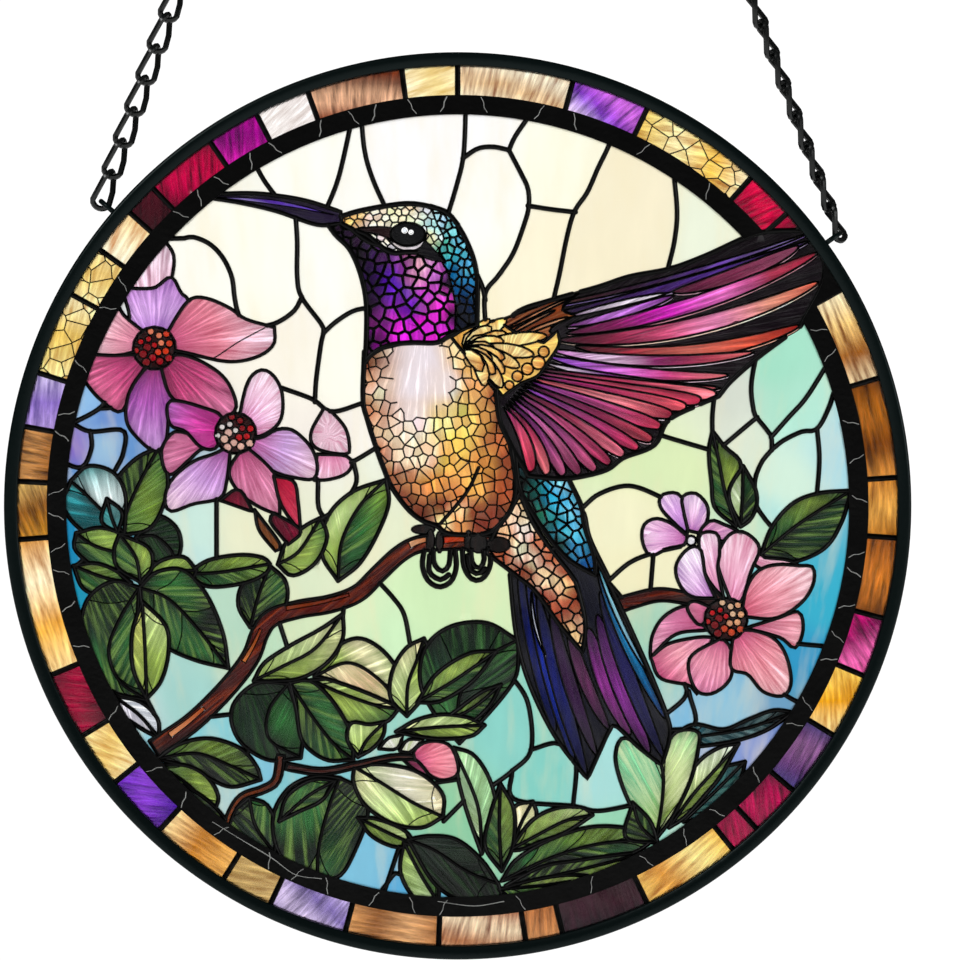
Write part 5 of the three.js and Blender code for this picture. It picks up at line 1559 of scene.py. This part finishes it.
# %% Glass with streaks
def coloured_glass(name, roughness, grain, relief, sparkle, richness):
    """Rolled art glass: the stored tint, with streaks of the stored colour drawn along the piece. grain is
    how fast the noise changes along and across it. Where the noise is low, sparkle lifts the tint."""
    material, nodes, links, surface = shader(name)
    flow, tint, streak = stored(nodes, "flow"), stored(nodes, "tint"), stored(nodes, "streak")
    stretch = add_node(nodes, "Mapping", {"Scale": (grain[0], grain[1], 1.0)})
    links.new(flow.outputs["Vector"], stretch.inputs["Vector"])
    noise = add_node(nodes, "TexNoise", {"Scale": 1.0, "Detail": 4.0, "Roughness": 0.6})
    links.new(stretch.outputs["Vector"], noise.inputs["Vector"])
    band = add_node(nodes, "MapRange", {"From Min": 0.48, "From Max": 0.70})
    links.new(noise.outputs["Fac"], band.inputs["Value"])
    strength = add_node(nodes, "Math", {})
    strength.operation = "MULTIPLY"
    links.new(band.outputs["Result"], strength.inputs[0])
    links.new(streak.outputs["Alpha"], strength.inputs[1])
    mix = add_node(nodes, "Mix", {})
    mix.data_type = "RGBA"
    links.new(strength.outputs["Value"], mix.inputs["Factor"])
    links.new(tint.outputs["Color"], mix.inputs["A"])
    links.new(streak.outputs["Color"], mix.inputs["B"])
    glow = add_node(nodes, "MapRange", {"From Min": 0.28, "From Max": 0.47, "To Min": sparkle, "To Max": 1.0})
    links.new(noise.outputs["Fac"], glow.inputs["Value"])
    lift = add_node(nodes, "HueSaturation", {"Saturation": richness})
    links.new(glow.outputs["Result"], lift.inputs["Value"])
    links.new(mix.outputs["Result"], lift.inputs["Color"])
    links.new(lift.outputs["Color"], surface.inputs["Base Color"])
    relief_from(noise, relief, nodes, links, surface)
    set_values(
        surface,
        {"Transmission Weight": 1.0, "Roughness": roughness, "IOR": 1.5, "Specular IOR Level": 0.12},
    )
    return material


# %% Blackened metal
def dark_metal(name, colour, roughness, relief=0.15, gloss=0.2):
    """Metal under a black patina, with the small unevenness that a soldering iron leaves."""
    material, nodes, links, surface = shader(name)
    place = add_node(nodes, "TexCoord", {})
    noise = add_node(nodes, "TexNoise", {"Scale": 900.0, "Detail": 2.0})
    links.new(place.outputs["Object"], noise.inputs["Vector"])
    relief_from(noise, relief, nodes, links, surface)
    set_values(
        surface,
        {"Base Color": (*colour, 1.0), "Metallic": 0.5, "Specular IOR Level": gloss, "Roughness": roughness},
    )
    return material


# %% [markdown]
# ## Lead lines
#
# Real solder stands a little proud of both faces of the glass, so each bead is round on top. A wide line
# goes right through between its two panes. A fine one, such as a vein or the edge of a scale, stands on
# each face as a bead of its own, because a deep wall between such small pieces would hide their colour from
# the side. The profile is carried along the run, and both ends close in a round nose so that beads that
# meet look like one.

# %% Beads of solder
NOSE = np.radians([75, 45, 20])
FINEST_THROUGH = 0.35
LEAST_HEIGHT, HEIGHT_SHARE = 0.22, 0.75
NOSE_DIP = 0.05
BEAD_BASE = GLASS_HALF - 0.12


def bead_profile(half, steps, base):
    """Across and depth of one bead's outline at the front: a half circle that stands on the base depth."""
    turn = np.linspace(0, np.pi, steps)
    height = LEAST_HEIGHT + HEIGHT_SHARE * half
    return half * np.cos(turn), base + height * np.sin(turn)


def bead(run, half, across, depth):
    """One bead: the profile carried along the run, shrinking over a round nose at both ends."""
    way = unit(np.gradient(run, axis=0))
    nose = NOSE if half > FINEST_THROUGH else NOSE[1:2]
    before = run[0] - np.outer(half * np.sin(nose), way[0])
    after = run[-1] + np.outer(half * np.sin(nose[::-1]), way[-1])
    centre = np.vstack([before, run, after])
    ways = np.vstack([np.tile(way[0], (len(nose), 1)), way, np.tile(way[-1], (len(nose), 1))])
    shrink = np.r_[np.cos(nose), np.ones(len(run)), np.cos(nose[::-1])]
    flat = centre[:, None] + left_of(ways)[:, None] * (across[None, :, None] * shrink[:, None, None])
    rings, around = len(centre), len(across)
    lowest = np.abs(depth).min()
    raised = (np.abs(depth) - lowest)[None] * shrink[:, None]
    deep = np.sign(depth)[None] * (lowest - (1 - shrink[:, None]) * NOSE_DIP + raised)
    index = np.arange(rings * around).reshape(rings, around)
    a, b = index[:-1], index[1:]
    c, d = np.roll(b, -1, axis=1), np.roll(a, -1, axis=1)
    skin = quads(a, b, c, d)
    start, stop = index[0], index[-1]
    fan = np.arange(1, around - 1)
    cap_a = np.stack([np.full(len(fan), start[0]), start[fan], start[fan + 1]], -1)
    cap_b = np.stack([np.full(len(fan), stop[0]), stop[fan + 1], stop[fan]], -1)
    return flat.reshape(-1, 2), deep.ravel(), np.vstack([skin, cap_a, cap_b])


def beads(run, half, base):
    """The solids of one line. A wide line goes through the glass; a fine one is a bead on each face of it."""
    across, depth = bead_profile(half, 5 if half > FINEST_THROUGH else 3, base)
    if half > FINEST_THROUGH:
        return [bead(run, half, np.r_[across, -across], np.r_[-depth, depth])]
    return [bead(run, half, across, -depth), bead(run, half, -across, depth)]


def solder_object(name, chosen, finish, extra=None, base=BEAD_BASE):
    """One object of many beads that stand on the base depth. extra is one more (flat, depth, faces) solid."""
    solids = [solid for run, half in chosen for solid in beads(run, half, base)]
    solids += [extra] if extra else []
    counts = np.cumsum([0] + [len(s[0]) for s in solids])
    flat = np.vstack([s[0] for s in solids])
    depth = np.concatenate([s[1] for s in solids])
    faces = np.vstack([s[2] + count for s, count in zip(solids, counts)])
    made = mesh_object(name, to_world(flat, depth), faces, finish)
    print(name, "beads:", len(chosen), "triangles:", len(faces))
    return made


# %% [markdown]
# ## Glass, piece by piece
#
# The cells are gathered by finish and by where they are, so that each group is one object that can be
# selected, hidden or recoloured on its own. Every cell gets a small change of brightness of its own, as
# offcuts from one sheet have.

# %% Groups of cells
SMALLEST_CELL = 0.12
SHADE_RANGE = {"bird_head_glass": 0.34, "bird_body_glass": 0.3, "tail_glass": 0.25, "sky": 0.03}
rng = np.random.default_rng(7)
slots = np.array([part["slot"] for part in pieces] + ["sky"])
cell_slot = slots[cell_piece]
shade_range = np.array([SHADE_RANGE.get(slot, 0.1) for slot in cell_slot])[:, None]
cell_shade = np.ones((len(cell_area), 4))
cell_shade[:, :3] += rng.uniform(-1, 1, (len(cell_area), 1)) * shade_range
cell_shade[:, :3] += rng.uniform(-0.3, 0.3, (len(cell_area), 3)) * shade_range
cell_shade[:, 3] = rng.uniform(0, 1, len(cell_area))
wanted = cell_area > SMALLEST_CELL
warm = ((cell_spot[:, 1] > 22) & (cell_spot[:, 0] < 50)) | ((cell_spot[:, 1] > 45) & (cell_spot[:, 0] < 65))
blossoms = {
    "glass_blossom_left": (-67, 35),
    "glass_blossom_middle": (-45, 10),
    "glass_blossom_right": (58, -20),
}
node_names = sorted(frame["nodes"])


def nearest_blossom(spots):
    """Which blossom's middle each cell is nearest to."""
    middles = np.array(list(blossoms.values()), float)
    return np.argmin(np.hypot(*(spots[:, None] - middles[None]).transpose(2, 0, 1)), axis=1)


# %% The kinds of glass: roughness, grain, relief, sparkle and richness
painted_glass = coloured_glass("streaky_glass", 0.22, (0.07, 1.25), 0.2, 1.8, 1.06)
leafy_glass = coloured_glass("leafy_glass", 0.22, (0.06, 1.1), 0.25, 2.7, 1.03)
silky_glass = coloured_glass("silky_glass", 0.22, (0.09, 1.6), 0.25, 2.0, 1.04)
feather_glass = coloured_glass("feather_glass", 0.22, (0.06, 1.3), 0.25, 2.5, 1.02)
scaly_glass = coloured_glass("scaly_glass", 0.22, (0.1, 1.0), 0.2, 1.6, 0.98)
tile_glass = coloured_glass("tile_glass", 0.22, (0.11, 1.0), 0.3, 1.75, 1.05)
cloudy_glass = coloured_glass("cloudy_pale_glass", 0.3, (0.03, 0.14), 0.08, 1.06, 1.1)

# %% Objects of glass
GROUPS = [
    ("bird_head_pieces", "bird_head_glass", painted_glass, ["glass_bird_head"]),
    ("bird_body_pieces", "bird_body_glass", scaly_glass, ["glass_bird_body"]),
    ("bird_tail_pieces", "tail_glass", painted_glass, ["glass_bird_tail"]),
    ("wing_pieces", "wing_glass", feather_glass, ["glass_bird_wing"]),
    ("branch_pieces", "branch_glass", painted_glass, ["glass_branch"]),
]
for name, slot, finish, nodes in GROUPS:
    glass_object(name, np.flatnonzero(wanted & (cell_slot == slot)), finish, nodes)

is_petal = wanted & (cell_slot == "petal_glass")
near = nearest_blossom(cell_spot)
for k, node in enumerate(blossoms):
    glass_object(node + "_petals", np.flatnonzero(is_petal & (near == k)), silky_glass, [node])

LEAF_GROUPS = {
    "leaves_right": ((cell_spot[:, 0] > 50) & (cell_spot[:, 1] > -20), ["glass_leaves_right"]),
    "leaves_left": ((cell_spot[:, 0] < -42) & (cell_spot[:, 1] > -45), ["glass_leaves_left"]),
    "leaves_branch": ((cell_spot[:, 0] < -10) & (cell_spot[:, 1] > -20), ["glass_leaves_branch"]),
    "leaves_middle": ((cell_spot[:, 1] > -58) & (cell_spot[:, 0] < 20), ["glass_leaves_middle"]),
    "leaves_low": (np.ones(len(cell_area), bool), ["glass_leaves_low"]),
}
left_over = wanted & (cell_slot == "leaf_glass")
for name, (here, nodes) in LEAF_GROUPS.items():
    glass_object(name + "_pieces", np.flatnonzero(left_over & here), leafy_glass, nodes)
    left_over &= ~here

for slot in sorted(set(TILE_SLOTS.values())):
    mine = [row["node"] for row in frame["record"]["subparts"] if row["material_slot"] == slot]
    chosen = np.flatnonzero(wanted & (cell_slot == slot))
    glass_object(slot.replace("_glass", "s"), chosen, tile_glass, mine)

is_sky = wanted & (cell_slot == "sky")
cream_nodes = ["glass_sky_top", "glass_sky_left"]
aqua_nodes = [n for n in node_names if n.startswith("glass_sky") and n not in cream_nodes]
glass_object("cream_panes", np.flatnonzero(is_sky & warm), cloudy_glass, cream_nodes)
glass_object("aqua_panes", np.flatnonzero(is_sky & ~warm), cloudy_glass, aqua_nodes)

# %% Solder: the lines and the band
BAND_LAP = 0.2
SEAM_BEAD, SEAM_SINK = 0.13, 0.1
patina = dark_metal("black_patina", (0.002, 0.002, 0.002), 0.3)
shown_beads = [(run, half) for half, run in lines if half > 0]
wide = [(run, half) for run, half in shown_beads if half > FINEST_THROUGH]
narrow = [(run, half) for run, half in shown_beads if half <= FINEST_THROUGH]
band_cells = np.flatnonzero(cell_slot == "black_solder")
flat, depth, faces, _ = cut(band_cells, -BAND_LAP, BAND_HALF)
solder = solder_object("solder_lines_wide", wide, patina, (flat, depth, faces))
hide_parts("solder_lines")
solder_object("solder_lines_narrow", narrow, patina)
solder_object("scale_lines", fine_beads, patina)

bright = dark_metal("worn_solder", (0.55, 0.56, 0.54), 0.4)
seams = [(run, SEAM_BEAD) for run in bright_seams]
solder_object("band_seams", seams, bright, base=BAND_HALF - SEAM_SINK)

# %% [markdown]
# ## Rim
#
# The rim is a channel of black metal bent to a hoop. Its lips hold the edge of the glass at the front and
# back. Its section is turned round the middle of the disc, like work on a lathe, with a soft edge at each
# outer corner.


# %% Surfaces that close on themselves
def closed_grid(points):
    """Triangles of a grid of points that closes in both directions, as a torus does."""
    rows, columns = points.shape[:2]
    index = np.arange(rows * columns).reshape(rows, columns)
    a, b = index, np.roll(index, -1, axis=0)
    c, d = np.roll(b, -1, axis=1), np.roll(index, -1, axis=1)
    return quads(a, b, c, d)


def facing_out(points, faces):
    """The same triangles, turned over if the volume they enclose comes out negative."""
    a, b, c = (points[faces[:, k]] for k in range(3))
    volume = np.einsum("ij,ij->i", a, np.cross(b, c)).sum()
    return faces if volume > 0 else faces[:, ::-1]


def tube(centres, radius, sides):
    """A round wire along a closed ring of centres: a circle in the plane across the line at each centre."""
    way = np.roll(centres, -1, axis=0) - np.roll(centres, 1, axis=0)
    way /= np.linalg.norm(way, axis=1)[:, None]
    outward = centres - centres.mean(0)
    outward -= way * (outward * way).sum(1)[:, None]
    outward /= np.linalg.norm(outward, axis=1)[:, None]
    over = np.cross(way, outward)
    turn = np.linspace(0, 2 * np.pi, sides, endpoint=False)
    circle = outward[:, None] * np.cos(turn)[None, :, None] + over[:, None] * np.sin(turn)[None, :, None]
    points = centres[:, None] + radius * circle
    faces = facing_out(points.reshape(-1, 3), closed_grid(points))
    return points.reshape(-1, 3), faces


def gathered(solids):
    """Several (points, faces) solids as one."""
    counts = np.cumsum([0] + [len(points) for points, _ in solids])
    points = np.vstack([points for points, _ in solids])
    return points, np.vstack([faces + base for (_, faces), base in zip(solids, counts)])


# %% The rim and its two loops
RIM_TURNS = 288
LIP_INSIDE = 2.45
SOFT = 0.7
BEVEL = 0.35
GLASS_GAP = 0.4
CHAIN_LEFT_DEGREES, CHAIN_RIGHT_DEGREES = -49.5, 54.5
LOOP_RADIUS, LOOP_WIRE, LOOP_OUT = 2.5, 0.6, 1.0

half = RIM_DEPTH / 2
arc = np.linspace(0, np.pi / 2, 4)
outer_corner = np.stack([DISC_RADIUS - SOFT + SOFT * np.sin(arc), -half + SOFT - SOFT * np.cos(arc)], -1)
lip = np.array([[RIM_INNER, -LIP_INSIDE], [RIM_INNER, -half + BEVEL], [RIM_INNER + BEVEL, -half]])
front = np.vstack([[[GLASS_EDGE + GLASS_GAP, -LIP_INSIDE]], lip, outer_corner])
section = np.vstack([front, front[::-1] * [1, -1]])
turns = np.linspace(0, 2 * np.pi, RIM_TURNS, endpoint=False)
rim_points = np.stack(
    [
        np.sin(turns)[:, None] * section[None, :, 0],
        np.broadcast_to(section[None, :, 1], (RIM_TURNS, len(section))),
        np.cos(turns)[:, None] * section[None, :, 0] + DISC_CENTRE_Z,
    ],
    -1,
)
hoop_points = rim_points.reshape(-1, 3)
hoop = (hoop_points, facing_out(hoop_points - hoop_points.mean(0), closed_grid(rim_points)))


def rim_loop(degrees):
    """A wire loop across the rim: a circle in the plane of the disc's radius and the depth."""
    turn = np.linspace(0, 2 * np.pi, 24, endpoint=False)
    out = DISC_RADIUS + LOOP_OUT + LOOP_RADIUS * np.cos(turn)
    place = clock(degrees, 1.0)
    ring = np.stack([out * place[0], LOOP_RADIUS * np.sin(turn), out * place[1] + DISC_CENTRE_Z], -1)
    return tube(ring, LOOP_WIRE, 10)


# %% Rim and loops as one object
patina_rim = dark_metal("black_rim_metal", (0.002, 0.006, 0.006), 0.3, relief=0.1)
points, faces = gathered([hoop, rim_loop(CHAIN_LEFT_DEGREES), rim_loop(CHAIN_RIGHT_DEGREES)])
rim = mesh_object("rim_metal", points * MM, faces, patina_rim)
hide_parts("rim")
print("rim triangles:", len(faces))

# %% [markdown]
# ## Chains and hanging ring
#
# The chains are curb chain: each link is an oval of wire that is twisted a quarter turn, so the next link
# lies against it. A link's line is an oval whose width direction turns steadily from one end to the other.
# The run from the loop on the rim to the ring is divided into equal links, each turned a little from the
# last.

# %% Links along a run
RING_RADIUS, RING_WIRE = 7.0, 0.8
RING_CENTRE = np.array([0.0, 0.0, -(RING_RADIUS - RING_WIRE)])
LINK_WIRE, LINK_WIDTH, LINK_PITCH = 0.68, 5.4, 7.25
LINK_STEPS, LINK_SIDES = 20, 7
HALF_TWIST = 45
FIT = 0.3
HOOK_PRESS = 0.1


def link(centre, sideways, over, way, length, turn):
    """One twisted link: an oval along way, whose width direction turns by HALF_TWIST degrees to each end."""
    angle = np.linspace(0, 2 * np.pi, LINK_STEPS, endpoint=False)
    half_width = LINK_WIDTH / 2 - LINK_WIRE
    half_length = length / 2 - LINK_WIRE
    across = half_width * np.cos(angle)
    along = half_width * np.sin(angle) + np.sign(np.sin(angle)) * (half_length - half_width)
    twist = np.radians(turn + HALF_TWIST * along / half_length)
    line = centre + np.outer(along, way)
    line = line + np.outer(across * np.cos(twist), sideways) + np.outer(across * np.sin(twist), over)
    return tube(line, LINK_WIRE, LINK_SIDES)


def chain(degrees, turn_low, turn_high):
    """All the links from the loop on the rim to the hanging ring. Neighbours press HOOK_PRESS into each other
    where they hook, and the end links stand FIT off the loop and the ring along the run."""
    top_of_loop = clock(degrees, DISC_RADIUS + LOOP_OUT + LOOP_RADIUS)
    foot = np.array([top_of_loop[0], 0, top_of_loop[1] + DISC_CENTRE_Z])
    way = RING_CENTRE - foot
    way /= np.linalg.norm(way)
    foot = foot - way * (LOOP_WIRE + FIT)
    head = RING_CENTRE - way * (RING_RADIUS - RING_WIRE - FIT)
    reach = np.linalg.norm(head - foot) + 4 * LINK_WIRE
    hooked = 4 * LINK_WIRE - HOOK_PRESS
    count = round((reach - hooked) / LINK_PITCH)
    length = (reach + (count - 1) * hooked) / count
    sideways = np.cross([0, 1, 0], way)
    sideways /= np.linalg.norm(sideways)
    over = np.cross(way, sideways)
    places = length / 2 - 2 * LINK_WIRE + np.arange(count) * (length - hooked)
    turns = np.linspace(turn_low, turn_high, count)
    return gathered([link(foot + way * p, sideways, over, way, length, t) for p, t in zip(places, turns)])


# %% Both chains, and the ring
chain_metal = dark_metal("black_chain_metal", (0.006, 0.007, 0.007), 0.22, relief=0.05, gloss=0.7)
for name, degrees, low, high in (
    ("chain_left", CHAIN_LEFT_DEGREES, 36, 48),
    ("chain_right", CHAIN_RIGHT_DEGREES, 84, 62),
):
    points, faces = chain(degrees, low, high)
    made = mesh_object(name + "_links", points * MM, faces, chain_metal)
    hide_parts(name)
    print(name, "triangles:", len(faces))

turn = np.linspace(0, 2 * np.pi, 64, endpoint=False)
circle = np.stack([np.sin(turn), np.zeros_like(turn), np.cos(turn)], -1) * RING_RADIUS + RING_CENTRE
points, faces = tube(circle, RING_WIRE, 14)
ring = mesh_object("hanging_ring_wire", points * MM, faces, chain_metal)
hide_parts("hanging_ring")

# %% [markdown]
# ## Floor, light and camera
#
# Stained glass shows its colour by the light behind it, so the world is a bright even white. Gloss sees a
# dimmer world, or every black line would turn grey. Two large soft lamps give the metal its highlights. The
# camera looks straight at the disc from far off, so that the disc is a true circle.

# %% Floor
FLOOR_DROP = 450
FLOOR_HALF = 8.0
FLOOR_BEHIND = 4.5
floor_mesh = bpy.data.meshes.new("floor")
floor_z = (DISC_CENTRE_Z - FLOOR_DROP) * MM
floor_corners = [
    (-FLOOR_HALF, -FLOOR_HALF, floor_z),
    (FLOOR_HALF, -FLOOR_HALF, floor_z),
    (FLOOR_HALF, FLOOR_BEHIND, floor_z),
    (-FLOOR_HALF, FLOOR_BEHIND, floor_z),
]
floor_mesh.from_pydata(floor_corners, [], [(0, 1, 2, 3)])
floor = bpy.data.objects.new("floor", floor_mesh)
bpy.context.scene.collection.objects.link(floor)
floor_finish, _, _, floor_surface = shader("pale_floor")
set_values(floor_surface, {"Base Color": (0.85, 0.85, 0.84, 1.0), "Roughness": 0.7})
floor_mesh.materials.append(floor_finish)
print("floor:", round(floor_z, 3), "m")

# %% World and lamps
BACK_LIGHT = 1.08
GLOSS_SHARE = 0.06
world = bpy.data.worlds.new("white_room")
bpy.context.scene.world = world
world.use_nodes = True
nodes, links = world.node_tree.nodes, world.node_tree.links
background = nodes["Background"]
set_values(background, {"Color": (1.0, 1.0, 1.0, 1.0)})
ray = add_node(nodes, "LightPath", {})
only_gloss = add_node(nodes, "Math", {})
only_gloss.operation = "SUBTRACT"
only_gloss.use_clamp = True
links.new(ray.outputs["Is Glossy Ray"], only_gloss.inputs[0])
links.new(ray.outputs["Is Transmission Ray"], only_gloss.inputs[1])
level = add_node(nodes, "MapRange", {"To Min": BACK_LIGHT, "To Max": GLOSS_SHARE})
links.new(only_gloss.outputs["Value"], level.inputs["Value"])
links.new(level.outputs["Result"], background.inputs["Strength"])


def lamp(name, place, aim, size, power):
    """A square soft lamp at a place, turned to face an aim."""
    light = bpy.data.lights.new(name, "AREA")
    light.size = size
    light.energy = power
    made = bpy.data.objects.new(name, light)
    made.location = place
    made.rotation_euler = (Vector(aim) - Vector(place)).to_track_quat("-Z", "Y").to_euler()
    bpy.context.scene.collection.objects.link(made)


disc_middle = (0.0, 0.0, DISC_CENTRE_Z * MM)
lamp("upper_left_lamp", (-0.7, -0.9, 0.5), disc_middle, 0.35, 5.0)
lamp("right_lamp", (1.0, -0.6, -0.1), disc_middle, 0.3, 2.5)
print("light behind the glass:", BACK_LIGHT, "light for gloss:", GLOSS_SHARE)

# %% Camera
VIEW_HEIGHT = 211.45
CAMERA_DISTANCE = 1.5
CAMERA_RIGHT, CAMERA_UP = 4.16, 5.7
SENSOR = 36.0
camera_data = bpy.data.cameras.new("camera")
camera_data.sensor_width = SENSOR
camera_data.lens = SENSOR * CAMERA_DISTANCE / (VIEW_HEIGHT * MM)
camera = bpy.data.objects.new("camera", camera_data)
camera.location = (CAMERA_RIGHT * MM, -CAMERA_DISTANCE - RIM_DEPTH / 2 * MM, (DISC_CENTRE_Z + CAMERA_UP) * MM)
camera.rotation_euler = (math.radians(90), 0, 0)
bpy.context.scene.collection.objects.link(camera)
bpy.context.scene.camera = camera
bpy.context.scene.view_settings.view_transform = "Standard"
print("lens:", round(camera_data.lens, 1), "mm")
